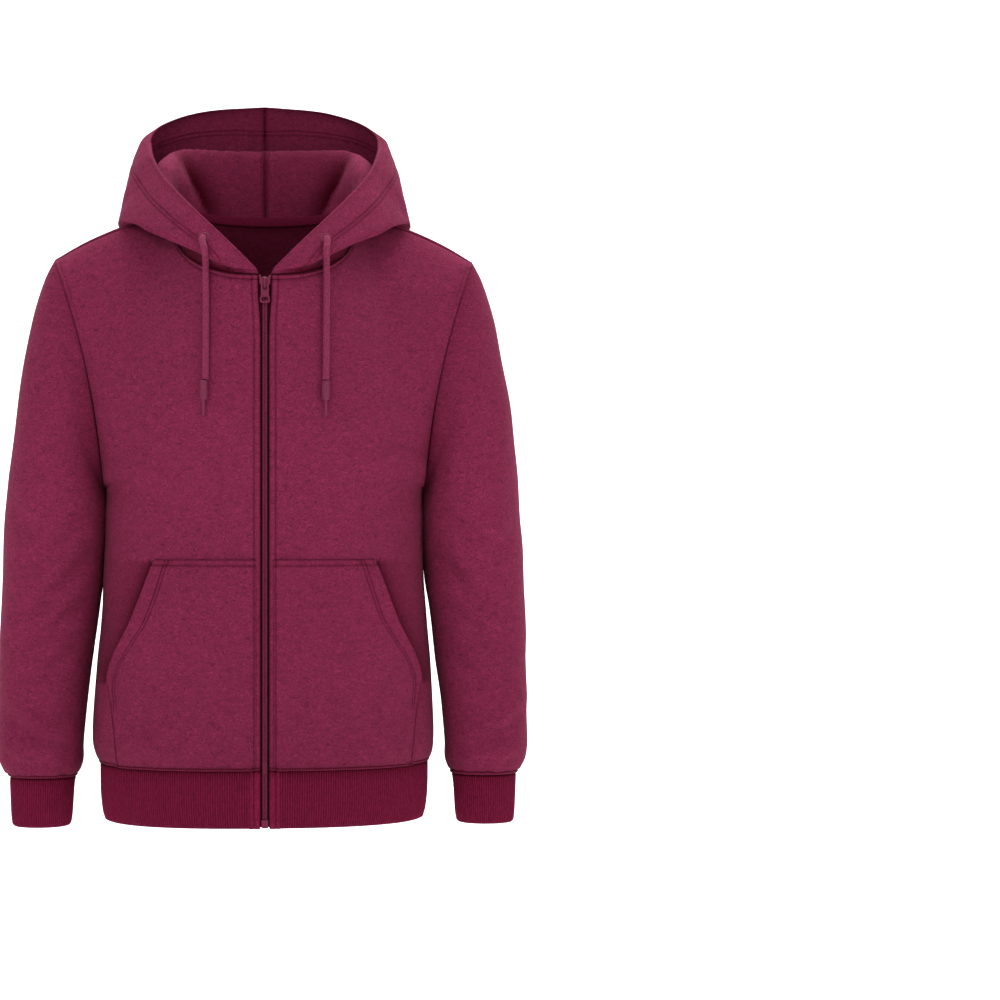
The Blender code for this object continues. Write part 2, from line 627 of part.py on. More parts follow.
chain_low = HEM_Z + 1.5 + STOP_HEIGHT + 0.3
zip_levels = [HEM_Z + 1.0, -664.5, chain_low, -640.0] + [level[0] for level in BODY_LEVELS]
zip_levels += list(np.linspace(UNDERARM_Z, CENTRE_FRONT[-1][0], ARM_ROWS + 1)[1:-1]) + [-61.0]
behind = FLEECE + 0.9
strip("zip_tape_left", 0.3, TAPE_WIDTH, zip_levels, behind, TAPE_THICK, WINE_RIB)
strip("zip_tape_right", -TAPE_WIDTH, -0.3, zip_levels, behind, TAPE_THICK, WINE_RIB)
chain_high = SLIDER_TOP_Z - SLIDER_LENGTH - 0.4
chain_levels = [chain_low] + [z for z in zip_levels if chain_low + 4 < z < chain_high - 4]
strip("zip_chain", -CHAIN_HALF, CHAIN_HALF, chain_levels + [chain_high], behind - 0.3 - CHAIN_THICK,
      CHAIN_THICK, WINE)
strip("zip_stop", -3.6, 3.6, [HEM_Z + 1.5, -664.5, HEM_Z + 1.5 + STOP_HEIGHT], behind - 0.3 - 2.6, 2.6,
      WINE_METAL)

# Slider and pull, drawn flat and then leaned with the chest. Local axes: x across, u out, w up.
slide_z = SLIDER_TOP_Z - SLIDER_LENGTH / 2
slide_y = float(centre_y(slide_z)[0])
lean = math.atan2(float((centre_y(slide_z + 10) - centre_y(slide_z - 10))[0]), 20.0)


def leaned(x, u, w):
    """x across, u out of the chest, w up the chest, from the slider's middle."""
    return (x, slide_y - u * math.cos(lean) + w * math.sin(lean),
            slide_z + u * math.sin(lean) + w * math.cos(lean))


def prism(outline, u0, u1):
    """(points, faces) of an outline in x and w, from depth u0 to u1."""
    count = len(outline)
    points = [leaned(x, u1, w) for x, w in outline] + [leaned(x, u0, w) for x, w in outline]
    faces = [tuple(range(count))[::-1], tuple(range(count, 2 * count))]
    faces += [(k, (k + 1) % count, (k + 1) % count + count, k + count) for k in range(count)]
    return points, faces


def body_of(name, parts, colour, metal, rough, origin=(0, 0, 0), cuts=()):
    """One closed body: the parts joined, less the cuts."""
    made = []
    for k, (points, faces) in enumerate(list(parts) + list(cuts)):
        title = name if k == 0 else f"{name}_helper_{k}"
        item = new_object(title, points, faces, colour, metal, rough, origin if k == 0 else (0, 0, 0))
        fix = item.data
        normals_out(fix)
        made.append(item)
    for k, item in enumerate(made[1:], start=1):
        join = made[0].modifiers.new("join" if k < len(parts) else "cut", "BOOLEAN")
        join.operation = "UNION" if k < len(parts) else "DIFFERENCE"
        join.solver = "EXACT"
        join.object = item
        item.hide_render = True
        item.display_type = "WIRE"
    return made[0]


def normals_out(mesh):
    work = bmesh.new()
    work.from_mesh(mesh)
    bmesh.ops.recalc_face_normals(work, faces=work.faces)
    work.to_mesh(mesh)
    work.free()


half_long = SLIDER_LENGTH / 2
slider_outline = [
    (-SLIDER_NARROW, -half_long), (SLIDER_NARROW, -half_long), (SLIDER_WIDE - 0.9, -0.5),
    (SLIDER_WIDE, 2.4), (SLIDER_WIDE - 0.5, 4.4), (SLIDER_WIDE - 2.2, 6.0), (1.6, half_long),
    (-1.6, half_long), (2.2 - SLIDER_WIDE, 6.0), (0.5 - SLIDER_WIDE, 4.4), (-SLIDER_WIDE, 2.4),
    (0.9 - SLIDER_WIDE, -0.5),
]
plate_front = 1.3
slider_plate = prism(slider_outline, plate_front - SLIDER_THICK, plate_front)
# The bridge is an arch over the plate; the pull's cross bar sits in its lower end.
bridge_profile = [(plate_front - 0.4, -5.6), (4.1, -5.6), (5.0, -4.6), (5.0, 1.0), (3.2, 5.4),
                  (plate_front - 0.4, 6.2)]
tunnel_profile = [(plate_front + 0.1, -4.5), (3.5, -4.5), (3.9, -4.1), (3.9, 0.6), (2.6, 3.9),
                  (plate_front + 0.1, 4.4)]


def side_prism(profile, half):
    """(points, faces) of an outline in u and w, half each side of the middle."""
    count = len(profile)
    points = [leaned(half, u, w) for u, w in profile] + [leaned(-half, u, w) for u, w in profile]
    faces = [tuple(range(count)), tuple(range(count, 2 * count))[::-1]]
    faces += [(k, k + count, (k + 1) % count + count, (k + 1) % count) for k in range(count)]
    return points, faces


body_of("zip_slider", [slider_plate, side_prism(bridge_profile, 1.1)], WINE_METAL, 0.6, 0.4,
        cuts=[side_prism(tunnel_profile, 2.0)])

# Pull tab: its eye's cross bar is the hinge. It narrows at the waist and has a slot low down.
axis_u, axis_w = plate_front + 1.15, -3.55
axis_at = leaned(0, axis_u, axis_w)
pull_outline = []
for w, half in [(0.65, 3.7), (0.0, 4.4), (-4.0, 4.6), (-8.0, PULL_WAIST), (-11.0, 4.7),
                (-13.2, 5.3), (-15.4, PULL_WIDE), (1.9 - PULL_LENGTH, PULL_WIDE),
                (0.5 - PULL_LENGTH, PULL_WIDE - 0.9), (-PULL_LENGTH, PULL_WIDE - 2.1)]:
    pull_outline.append((half, axis_w + w))
pull_outline = pull_outline + [(-x, w) for x, w in pull_outline[::-1]]
back_u, front_u = axis_u - PULL_THICK / 2, axis_u + PULL_THICK / 2
eye = [(-1.8, axis_w - 4.7), (1.8, axis_w - 4.7), (2.4, axis_w - 4.1), (2.4, axis_w - 0.65),
       (-2.4, axis_w - 0.65), (-2.4, axis_w - 4.1)]
slot = [(-2.6, axis_w - 18.0), (2.6, axis_w - 18.0), (3.6, axis_w - 17.0), (3.6, axis_w - 14.6),
        (2.8, axis_w - 13.1), (-2.8, axis_w - 13.1), (-3.6, axis_w - 14.6), (-3.6, axis_w - 17.0)]
body_of("zip_pull", [prism(pull_outline[::-1], back_u, front_u)], WINE_METAL, 0.6, 0.4,
        origin=axis_at, cuts=[prism(eye, back_u - 2, front_u + 2), prism(slot, back_u - 2, front_u + 2)])


# ---- eyelets, cords and their ends -----------------------------------------------------------
def hood_face(x, z):
    """The hood's outer face at a place near its front, and the way out."""
    best = None
    rows, cols = hood_left.shape[:2]
    for i in range(rows - 1):
        for j in range(cols - 1):
            a, b, c, d = (hood_left[i, j], hood_left[i, j + 1], hood_left[i + 1, j + 1],
                          hood_left[i + 1, j])
            for p, q, r in ((a, b, c), (a, c, d)):
                flat = np.array([[q[0] - p[0], r[0] - p[0]], [q[2] - p[2], r[2] - p[2]]])
                if abs(np.linalg.det(flat)) < 1e-6:
                    continue
                s, t = np.linalg.solve(flat, np.array([x - p[0], z - p[2]]))
                if s >= -1e-6 and t >= -1e-6 and s + t <= 1 + 1e-6:
                    y = p[1] + s * (q[1] - p[1]) + t * (r[1] - p[1])
                    normal = np.cross(q - p, r - p)
                    normal /= np.linalg.norm(normal)
                    normal *= -1 if normal[1] > 0 else 1
                    if best is None or y < best[0][1]:
                        best = (np.array([x, y, z]), normal)
    return best


def washer(name, centre, out, side):
    """A flat ring with softened edges, on the axis through its hole."""
    steps = 20
    profile = [(EYELET_IN, 0.0), (EYELET_OUT, 0.0), (EYELET_OUT, 0.6), (EYELET_OUT - 0.9, EYELET_THICK),
               (EYELET_IN + 0.7, EYELET_THICK), (EYELET_IN, 0.7)]
    axis = Vector(out * [side, 1, 1]).normalized()
    spin = axis.to_track_quat("Z", "Y").to_matrix()
    points, faces = [], []
    for k in range(steps):
        turn = 2 * math.pi * k / steps
        for radius, lift in profile:
            local = Vector((radius * math.cos(turn), radius * math.sin(turn), lift))
            points.append(Vector(centre * [side, 1, 1]) + spin @ local)
    size = len(profile)
    for k in range(steps):
        nxt = (k + 1) % steps
        for m in range(size):
            n = (m + 1) % size
            faces.append((k * size + m, nxt * size + m, nxt * size + n, k * size + n))
    obj = new_object(name, [tuple(p) for p in points], faces, WINE_METAL, 0.6, 0.4)
    normals_out(obj.data)
    return obj


eye_point, eye_out = hood_face(*EYELET_AT)


def chest_y(x, z):
    """The front's outer face at a place above the underarm."""
    best = None
    grid = front_left if front_left[0, 0, 0] < front_left[0, -1, 0] else front_left[:, ::-1]
    rows, cols = grid.shape[:2]
    for i in range(rows - 1):
        for j in range(cols - 1):
            a, b, c, d = grid[i, j], grid[i, j + 1], grid[i + 1, j + 1], grid[i + 1, j]
            for p, q, r in ((a, b, c), (a, c, d)):
                flat = np.array([[q[0] - p[0], r[0] - p[0]], [q[2] - p[2], r[2] - p[2]]])
                if abs(np.linalg.det(flat)) < 1e-6:
                    continue
                s, t = np.linalg.solve(flat, np.array([x - p[0], z - p[2]]))
                if s >= -1e-6 and t >= -1e-6 and s + t <= 1 + 1e-6:
                    y = p[1] + s * (q[1] - p[1]) + t * (r[1] - p[1])
                    best = y if best is None else min(best, y)
    return best


def surface_y(x, z):
    found = [v for v in (chest_y(x, z), (hood_face(x, z) or ((0, None),))[0][1]) if v is not None]
    return min(found)


cord_points = np.array(
    [eye_point + eye_out * 3.0, eye_point + eye_out * 6.0, eye_point + eye_out * 8.0 + np.array([0, 0, -4.0])]
    + [(x, surface_y(x, z) - clear, z) for x, z, clear in CORD_PATH]
)
for side, word in ((1, "left"), (-1, "right")):
    washer("eyelet_" + word, eye_point + eye_out * 0.35, eye_out, side)
    line = evenly(cord_points * [side, 1, 1], 24)
    curve = bpy.data.curves.new("cord_" + word, "CURVE")
    curve.dimensions = "3D"
    curve.bevel_depth = CORD_RADIUS * MM
    curve.bevel_resolution = 2
    curve.use_fill_caps = True
    spline = curve.splines.new("POLY")
    spline.points.add(len(line) - 1)
    for point, place in zip(spline.points, line):
        point.co = (*(place * MM), 1)
    cord = bpy.data.objects.new("cord_" + word, curve)
    bpy.context.scene.collection.objects.link(cord)
    add_material(cord, "cord_" + word, WINE, 0.0, 0.9)
    # The metal end: a barrel below the cord, then a thin pin.
    end = line[-1]
    low_z = end[2] - AGLET_LENGTH - PIN_LENGTH
    low = np.array([end[0], surface_y(abs(end[0]), low_z) - CORD_PATH[-1][2], low_z])
    hang = Vector(low - end).normalized()
    turned = hang.to_track_quat("Z", "Y").to_matrix()
    profile = [(3.6, 0.0), (AGLET_RADIUS, 0.9), (AGLET_RADIUS, AGLET_LENGTH - 1.2),
               (3.2, AGLET_LENGTH), (PIN_RADIUS, AGLET_LENGTH + 0.3),
               (PIN_RADIUS, AGLET_LENGTH + PIN_LENGTH - 0.8), (0.9, AGLET_LENGTH + PIN_LENGTH)]
    steps = 14
    points, faces = [], []
    for radius, drop in profile:
        for k in range(steps):
            turn = 2 * math.pi * k / steps
            local = Vector((radius * math.cos(turn), radius * math.sin(turn), drop + 1.0))
            points.append(tuple(Vector(end) + turned @ local))
    for m in range(len(profile) - 1):
        for k in range(steps):
            n = (k + 1) % steps
            faces.append((m * steps + k, m * steps + n, (m + 1) * steps + n, (m + 1) * steps + k))
    faces.append(tuple(range(steps)))
    faces.append(tuple((len(profile) - 1) * steps + k for k in range(steps))[::-1])
    aglet = new_object("aglet_" + word, points, faces, WINE_METAL, 0.3, 0.5)
    normals_out(aglet.data)
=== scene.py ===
# The looks of a zip-front hooded sweatshirt, filled out with nobody in it.
# Front faces -Y, +Z is up. Sizes here are in millimetres until a mesh is made.
import math

import bpy
import numpy as np
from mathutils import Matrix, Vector


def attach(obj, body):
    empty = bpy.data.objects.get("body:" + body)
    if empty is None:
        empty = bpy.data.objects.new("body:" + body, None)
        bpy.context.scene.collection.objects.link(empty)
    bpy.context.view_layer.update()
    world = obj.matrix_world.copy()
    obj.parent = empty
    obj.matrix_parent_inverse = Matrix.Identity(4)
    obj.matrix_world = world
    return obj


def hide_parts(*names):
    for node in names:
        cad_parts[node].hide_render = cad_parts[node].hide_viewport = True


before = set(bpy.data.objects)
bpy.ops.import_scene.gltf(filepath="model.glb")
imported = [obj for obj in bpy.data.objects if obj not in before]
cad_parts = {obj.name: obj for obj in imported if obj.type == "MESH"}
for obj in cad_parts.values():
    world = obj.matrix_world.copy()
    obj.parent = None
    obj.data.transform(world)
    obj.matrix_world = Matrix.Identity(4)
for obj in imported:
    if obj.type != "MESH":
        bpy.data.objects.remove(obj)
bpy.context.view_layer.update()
MM = 0.001
FLIP = np.array([-1.0, 1, 1])

# ---- the garment's own sizes, as in the solids ----------------------------------------------
FLEECE, RIB, POCKET_WALL = 2.2, 2.6, 2.0
UNDERARM_Z = -300.0
RING, ARM_ROWS = 24, 12
NECK_FRONT_COLS, NECK_BACK_COLS, SHOULDER_COLS, HOOD_ROWS = 6, 5, 4, 10
HOOD_FINE = (12, 5)  # points to each step of the solid, down and across
ZIP_EDGE = [(-671.0, 5.0), (-130.0, 5.0), (-105.0, 5.8), (-84.0, 7.2), (-59.0, 7.6)]
BODY_LEVELS = [
    # z, half_width, front, back, square
    (-606.0, 186.5, 138.0, 128.0, 2.45), (-597.0, 191.5, 145.5, 135.5, 2.45),
    (-580.0, 194.0, 149.0, 139.0, 2.45), (-545.0, 193.0, 149.0, 138.0, 2.42),
    (-495.0, 190.2, 147.0, 135.5, 2.40), (-440.0, 185.7, 143.5, 131.5, 2.36),
    (-372.0, 181.0, 139.0, 128.0, 2.32), (-300.0, 182.0, 136.0, 127.5, 2.30),
]
BAND_LEVELS = [
    (-671.0, 179.5, 132.5, 123.0, 2.45), (-664.5, 183.2, 135.5, 126.2, 2.45),
    (-640.0, 186.0, 138.0, 128.5, 2.45), (-606.0, 186.5, 138.0, 128.0, 2.45),
]
CENTRE_FRONT = [(-300.0, -136.0), (-240.0, -136.5), (-180.0, -134.0), (-120.0, -127.0),
                (-59.0, -115.0)]
CENTRE_BACK = [(-300.0, 127.5), (-220.0, 131.0), (-140.0, 127.0), (-70.0, 111.0), (-20.0, 91.0),
               (14.0, 74.0)]
NECK_FRONT = [
    (7.6, -115.0, -59.0), (33.0, -113.5, -58.0), (52.0, -106.5, -54.5), (72.0, -92.0, -46.5),
    (91.0, -65.0, -31.0), (102.0, -33.0, -7.0), (104.0, 6.0, 25.0),
]
NECK_BACK = [(104.0, 6.0, 25.0), (93.0, 36.0, 21.0), (68.0, 58.0, 17.0), (36.0, 70.0, 14.7),
             (0.0, 74.0, 14.0)]
SHOULDER = [(104.0, 6.0, 25.0), (150.0, 5.0, 9.3), (196.0, 3.5, -9.8), (238.6, 2.0, -35.0)]
ARMHOLE_TOP, ARMHOLE_LOW = (238.6, 2.0, -35.0), (182.0, 2.0, -300.0)
ARMHOLE_DEPTH, ARMHOLE_SCOOP = 63.0, 12.0
SLEEVE_RINGS = [
    # z_out, x_out, z_in, x_in, half_depth, y_mid, square
    (-60.0, 251.0, -305.0, 183.4, 67.0, 2.0, 2.1), (-98.0, 262.8, -310.5, 184.3, 70.0, 2.0, 2.15),
    (-145.0, 272.5, -317.0, 184.6, 72.5, 1.5, 2.2), (-203.0, 281.4, -327.0, 184.6, 74.0, 1.0, 2.2),
    (-270.0, 289.4, -343.0, 184.3, 74.0, 0.0, 2.2), (-338.0, 294.6, -368.0, 183.0, 72.0, -2.0, 2.2),
    (-395.0, 297.2, -402.0, 184.6, 69.0, -4.0, 2.2), (-428.0, 298.6, -428.0, 188.2, 65.5, -5.0, 2.2),
    (-472.0, 300.0, -472.0, 193.8, 62.5, -7.5, 2.2), (-518.0, 300.0, -518.0, 198.4, 59.5, -10.0, 2.2),
    (-555.0, 299.6, -555.0, 202.0, 57.5, -12.0, 2.2), (-583.0, 299.8, -583.0, 204.4, 56.0, -13.5, 2.2),
    (-601.0, 297.6, -601.0, 204.4, 53.0, -14.5, 2.2), (-612.5, 292.3, -612.5, 207.7, 47.0, -15.0, 2.2),
    (-621.0, 287.2, -621.0, 213.7, 40.0, -15.0, 2.2),
]
CUFF_RINGS = [(-621.0, 287.2, 213.7, 40.0), (-632.0, 287.0, 215.4, 39.5),
              (-664.5, 285.6, 217.6, 38.3), (-676.5, 284.2, 219.6, 36.8)]
CUFF_SQUARE = 2.1
HOOD_INNER = [
    # at, x, y, z
    (0.00, 8.2, -116.8, -56.5), (0.12, 38.5, -116.0, -50.5), (0.24, 66.0, -102.5, -37.0),
    (0.36, 92.0, -75.0, -12.0), (0.47, 112.0, -33.0, 34.0), (0.56, 117.0, 8.0, 69.0),
    (0.66, 110.0, 42.0, 87.5), (0.76, 96.0, 63.0, 96.5), (0.88, 56.0, 77.0, 99.5),
    (1.00, 0.0, 82.0, 100.0),
]
HOOD_OUTER = [
    (0.00, 8.6, -118.6, -55.0), (0.12, 38.0, -120.5, -46.0), (0.24, 72.0, -107.0, -32.0),
    (0.36, 112.0, -72.0, -12.5), (0.47, 149.0, -28.0, 4.5), (0.56, 166.5, 14.0, 9.0),
    (0.66, 167.5, 58.0, 5.0), (0.76, 146.0, 101.0, -8.0), (0.88, 84.0, 133.0, -52.0),
    (1.00, 0.0, 146.0, -84.0),
]
HOOD_RIM = [
    (0.00, 9.4, -118.0, -51.5), (0.12, 32.8, -113.0, -28.0), (0.24, 64.3, -93.0, 3.2),
    (0.36, 92.5, -62.0, 33.0), (0.47, 118.3, -21.0, 64.5), (0.56, 129.5, 13.0, 89.0),
    (0.66, 133.5, 50.0, 109.0), (0.76, 120.0, 80.0, 131.0), (0.88, 70.0, 98.0, 149.5),
    (1.00, 0.0, 103.0, 156.0),
]
HOOD_ROLL = [
    # at, inner, outer
    (0.00, 0.05, 0.05), (0.12, 0.15, 0.10), (0.24, 0.35, 0.20), (0.36, 0.60, 0.45),
    (0.47, 0.90, 0.75), (0.56, 1.00, 0.95), (0.66, 1.00, 1.00), (1.00, 1.00, 1.00),
]
POCKET_TOP_Z, POCKET_LOW_Z, POCKET_INNER_X = -374.0, -604.8, 9.5
POCKET_SIDE = [(-374.0, 121.0), (-440.0, 146.0), (-512.0, 174.5), (-537.0, 170.5), (-604.8, 163.5)]
POCKET_SWELL, POCKET_REST = 8.5, 1.4


# ---- curves and grids ------------------------------------------------------------------------
def through(rows, at):
    """A smooth curve through the rows, read at the given values of their first column."""
    rows = np.array(sorted(rows), float)
    x, y = rows[:, 0], rows[:, 1:]
    step = np.diff(x)[:, None]
    rise = np.diff(y, axis=0) / step
    slope = np.zeros_like(y)
    slope[0], slope[-1] = rise[0], rise[-1]
    if len(x) > 2:
        slope[1:-1] = (rise[:-1] * step[1:] + rise[1:] * step[:-1]) / (step[1:] + step[:-1])
        least = 3 * np.minimum(np.abs(rise[:-1]), np.abs(rise[1:]))
        slope[1:-1] = np.clip(slope[1:-1], -least, least) * (rise[:-1] * rise[1:] > 0)
    at = np.clip(np.asarray(at, float), x[0], x[-1])
    k = np.clip(np.searchsorted(x, at, side="right") - 1, 0, len(x) - 2)
    h = (x[k + 1] - x[k])[:, None]
    t = ((at - x[k])[:, None]) / h
    return (
        (1 + 2 * t) * (1 - t) ** 2 * y[k] + t * (1 - t) ** 2 * h * slope[k]
        + t * t * (3 - 2 * t) * y[k + 1] + t * t * (t - 1) * h * slope[k + 1]
    )


def runs(points):
    """Length run along a line of points."""
    return np.concatenate([[0], np.cumsum(np.linalg.norm(np.diff(points, axis=0), axis=1))])


def evenly(points, count):
    """count + 1 points at even steps of length along a smooth curve through the points."""
    points = np.array(points, float)
    fine = through(np.column_stack([runs(points), points]).tolist(),
                   np.linspace(0, runs(points)[-1], 400))
    run = runs(fine)
    at = np.linspace(0, run[-1], count + 1)
    return np.column_stack([np.interp(at, run, fine[:, k]) for k in range(3)])


def quarter(level, side, columns, first_x):
    """One level of the body from the centre line round to the side seam."""
    z, half, front, back, square = level
    deep = -front if side == "front" else back
    start = math.asin(min(1.0, (first_x / half) ** (square / 2)))
    turn = np.linspace(start, math.pi / 2, columns + 1)
    turn[-1] = math.pi / 2
    across = half * np.sin(turn) ** (2 / square)
    deepness = deep * np.clip(np.cos(turn), 0, 1) ** (2 / square)
    deepness[-1] = 0.0
    return np.column_stack([across, deepness + 2.0 * np.sin(turn) ** 4, np.full(columns + 1, z)])


def armhole(turn):
    """A point of the armhole seam: turn 0 at the shoulder, pi at the underarm, front first."""
    top, low = np.array(ARMHOLE_TOP), np.array(ARMHOLE_LOW)
    turn = np.asarray(turn, float)[:, None]
    c, s = np.cos(turn), np.sin(turn)
    depth = ARMHOLE_DEPTH * (1 - 0.10 * c)
    return (
        (top + low) / 2 + (top - low) / 2 * c + np.array([0, -1.0, 0]) * depth * s
        - np.array([1.0, 0, 0]) * ARMHOLE_SCOOP * s * s
    )


def coons(low, high, inner, outer, pull=2.2):
    """A patch between four edges; pull keeps the upper edge's shape near the top."""
    s = np.linspace(0, 1, len(low))[None, :, None]
    r = np.linspace(0, 1, len(inner))[:, None, None]
    f, g = r ** pull, s ** pull
    ends0 = (1 - f) * low[0] + f * high[0]
    ends1 = (1 - f) * low[-1] + f * high[-1]
    return (
        (1 - g) * inner[:, None] + g * outer[:, None]
        + (1 - f) * low[None] + f * high[None] - (1 - g) * ends0 - g * ends1
    )


def half_body(side):
    columns = (NECK_FRONT_COLS if side == "front" else NECK_BACK_COLS) + SHOULDER_COLS
    first_x = ZIP_EDGE[0][1] if side == "front" else 0.0
    lower = np.array([quarter(level, side, columns, first_x) for level in BODY_LEVELS])
    table = CENTRE_FRONT if side == "front" else CENTRE_BACK
    z = np.linspace(UNDERARM_Z, table[-1][0], ARM_ROWS + 1)
    y = through(table, z)[:, 0]
    if side == "front":
        neck = evenly(NECK_FRONT, NECK_FRONT_COLS)
        turn = np.linspace(math.pi, 0, ARM_ROWS + 1)
        across = through(ZIP_EDGE, z)[:, 0]
    else:
        neck = evenly(NECK_BACK[::-1], NECK_BACK_COLS)
        turn = np.linspace(math.pi, 2 * math.pi, ARM_ROWS + 1)
        across = np.zeros(len(z))
    inner = np.column_stack([across, y, z])
    high = np.concatenate([neck, evenly(SHOULDER, SHOULDER_COLS)[1:]])
    inner[0], inner[-1] = lower[-1][0], neck[0]
    outer = armhole(turn)
    outer[0], outer[-1] = lower[-1][-1], high[-1]
    return np.concatenate([lower, coons(lower[-1], high, inner, outer)[1:]])


def sleeve_surface():
    turn = np.linspace(0, 2 * math.pi, RING, endpoint=False)
    rings = [armhole(turn)]
    c, s = np.cos(turn), np.sin(turn)
    for z_out, x_out, z_in, x_in, deep, y_mid, square in SLEEVE_RINGS:
        far, near = np.array([x_out, y_mid, z_out]), np.array([x_in, y_mid, z_in])
        along = np.sign(c) * np.abs(c) ** (2 / square)
        aside = np.sign(s) * np.abs(s) ** (2 / square)
        rings.append((far + near) / 2 + along[:, None] * (far - near) / 2
                     - aside[:, None] * np.array([0, deep, 0]))
    return np.array(rings)


def cuff_surface(points):
    turn = np.linspace(0, 2 * math.pi, points, endpoint=False)
    c, s = np.cos(turn), np.sin(turn)
    rings = []
    for k, (z, x_out, x_in, deep) in enumerate(CUFF_RINGS):
        square = SLEEVE_RINGS[-1][6] if k == 0 else CUFF_SQUARE
        along = np.sign(c) * np.abs(c) ** (2 / square) * (x_out - x_in) / 2
        aside = -np.sign(s) * np.abs(s) ** (2 / square) * deep
        rings.append(np.column_stack([(x_out + x_in) / 2 + along, SLEEVE_RINGS[-1][5] + aside,
                                      np.full(points, z)]))
    return np.array(rings)


def hood_surface(rows):
    """Rows from the neck seam to the rim, columns from centre front to centre back."""
    corners = np.concatenate([evenly(NECK_FRONT, NECK_FRONT_COLS),
                              evenly(NECK_BACK, NECK_BACK_COLS)[1:]])
    neck = [corners[0]]
    for a, b in zip(corners[:-1], corners[1:]):
        neck += [(a + b) / 2, b]
    neck = np.array(neck)
    at = runs(neck) / runs(neck)[-1]
    inner, outer, rim = through(HOOD_INNER, at), through(HOOD_OUTER, at), through(HOOD_RIM, at)
    roll = through(HOOD_ROLL, at)
    away = outer - neck
    away[:, 2] = 0
    away[0], away[-1] = (0.2, -1, 0), (0, 1, 0)
    away /= np.linalg.norm(away, axis=1)[:, None]
    up = np.array([0, 0, 1.0])
    lines = []
    for n, f, b, r, o, (fold_in, fold_out) in zip(neck, inner, outer, rim, away, roll):
        at_inner, at_outer = o * fold_in + up * (1 - fold_in), o * fold_out + up * (1 - fold_out)
        legs = [(n, f, up * 0.9 + o * 0.1, at_inner, 1.0, 1.0), (f, b, at_inner, at_outer, 1.0, 0.9),
                (b, r, at_outer, up * 0.9 - o * 0.5, 0.55, 1.0)]
        curve = []
        for p, q, a, c, wa, wc in legs:
            size = min(np.linalg.norm(q - p), 60.0)
            t = np.linspace(0, 1, 60)[:, None]
            curve.append((1 + 2 * t) * (1 - t) ** 2 * p + t * (1 - t) ** 2 * a * size * wa
                         + t * t * (3 - 2 * t) * q + t * t * (t - 1) * c * size * wc)
        fine = np.concatenate([curve[0], curve[1][1:], curve[2][1:]])
        turn = np.diff(fine, axis=0)
        length = np.linalg.norm(turn, axis=1)
        unit = turn / length[:, None]
        bend = np.zeros(len(fine))
        bend[1:-1] = np.arccos(np.clip((unit[1:] * unit[:-1]).sum(1), -1, 1))
        weight = length / length.sum() + 0.5 * (bend[1:] + bend[:-1]) / 2 / max(bend.sum(), 1e-6)
        run = np.concatenate([[0], np.cumsum(weight)])
        where = np.linspace(0, run[-1], rows + 1)
        lines.append(np.column_stack([np.interp(where, run, fine[:, k]) for k in range(3)]))
    grid = np.array(lines).transpose(1, 0, 2)
    grid[0] = neck
    return grid


def resampled(grid, rows_at, cols_at, ring=False):
    """The grid read at places between its rows and columns, smoothly."""
    def one_way(points, at, closed):
        count = len(points)
        k = np.floor(at).astype(int)
        if not closed:
            k = np.clip(k, 0, count - 2)
        t = (np.asarray(at, float) - k).reshape((-1,) + (1,) * (points.ndim - 1))

        def get(i):
            if closed:
                return points[i % count]
            inside = points[np.clip(i, 0, count - 1)]
            low = (i < 0).reshape((-1,) + (1,) * (points.ndim - 1))
            high = (i > count - 1).reshape((-1,) + (1,) * (points.ndim - 1))
            inside = np.where(low, 2 * points[0] - points[1], inside)
            return np.where(high, 2 * points[-1] - points[-2], inside)

        p0, p1, p2, p3 = get(k - 1), get(k), get(k + 1), get(k + 2)
        return 0.5 * (2 * p1 + (p2 - p0) * t + (2 * p0 - 5 * p1 + 4 * p2 - p3) * t ** 2
                      + (3 * p1 - p0 - 3 * p2 + p3) * t ** 3)

    grid = one_way(grid, np.asarray(rows_at, float), False)
    return one_way(grid.transpose(1, 0, 2), np.asarray(cols_at, float), ring).transpose(1, 0, 2)


def normals_of(grid, ring=False, closed_both=None):
    """Outward normals of a grid whose rows run up and whose columns run so that they point out."""
    if ring:
        across = np.roll(grid, -1, 1) - np.roll(grid, 1, 1)
    else:
        across = np.gradient(grid, axis=1)
    up = np.gradient(grid, axis=0)
    normal = np.cross(across, up)
    return normal / np.maximum(np.linalg.norm(normal, axis=-1), 1e-9)[..., None]


def from_edges(grid, ring=False):
    """Distance in mm along the cloth from each edge: low, high, first, last."""
    up = np.linalg.norm(np.diff(grid, axis=0), axis=-1)
    low = np.concatenate([np.zeros((1, grid.shape[1])), np.cumsum(up, axis=0)])
    side = np.linalg.norm(np.diff(grid, axis=1), axis=-1)
    first = np.concatenate([np.zeros((grid.shape[0], 1)), np.cumsum(side, axis=1)], axis=1)
    return {"low": low, "high": low[-1:] - low, "first": first, "last": first[:, -1:] - first}


def groove(distance, at, width=0.8, depth=0.7):
    return -depth * np.exp(-(((distance - at) / width) ** 2))


def edge_round(distance, reach=2.6, depth=1.1):
    return -depth * np.clip(1 - distance / reach, 0, 1) ** 2


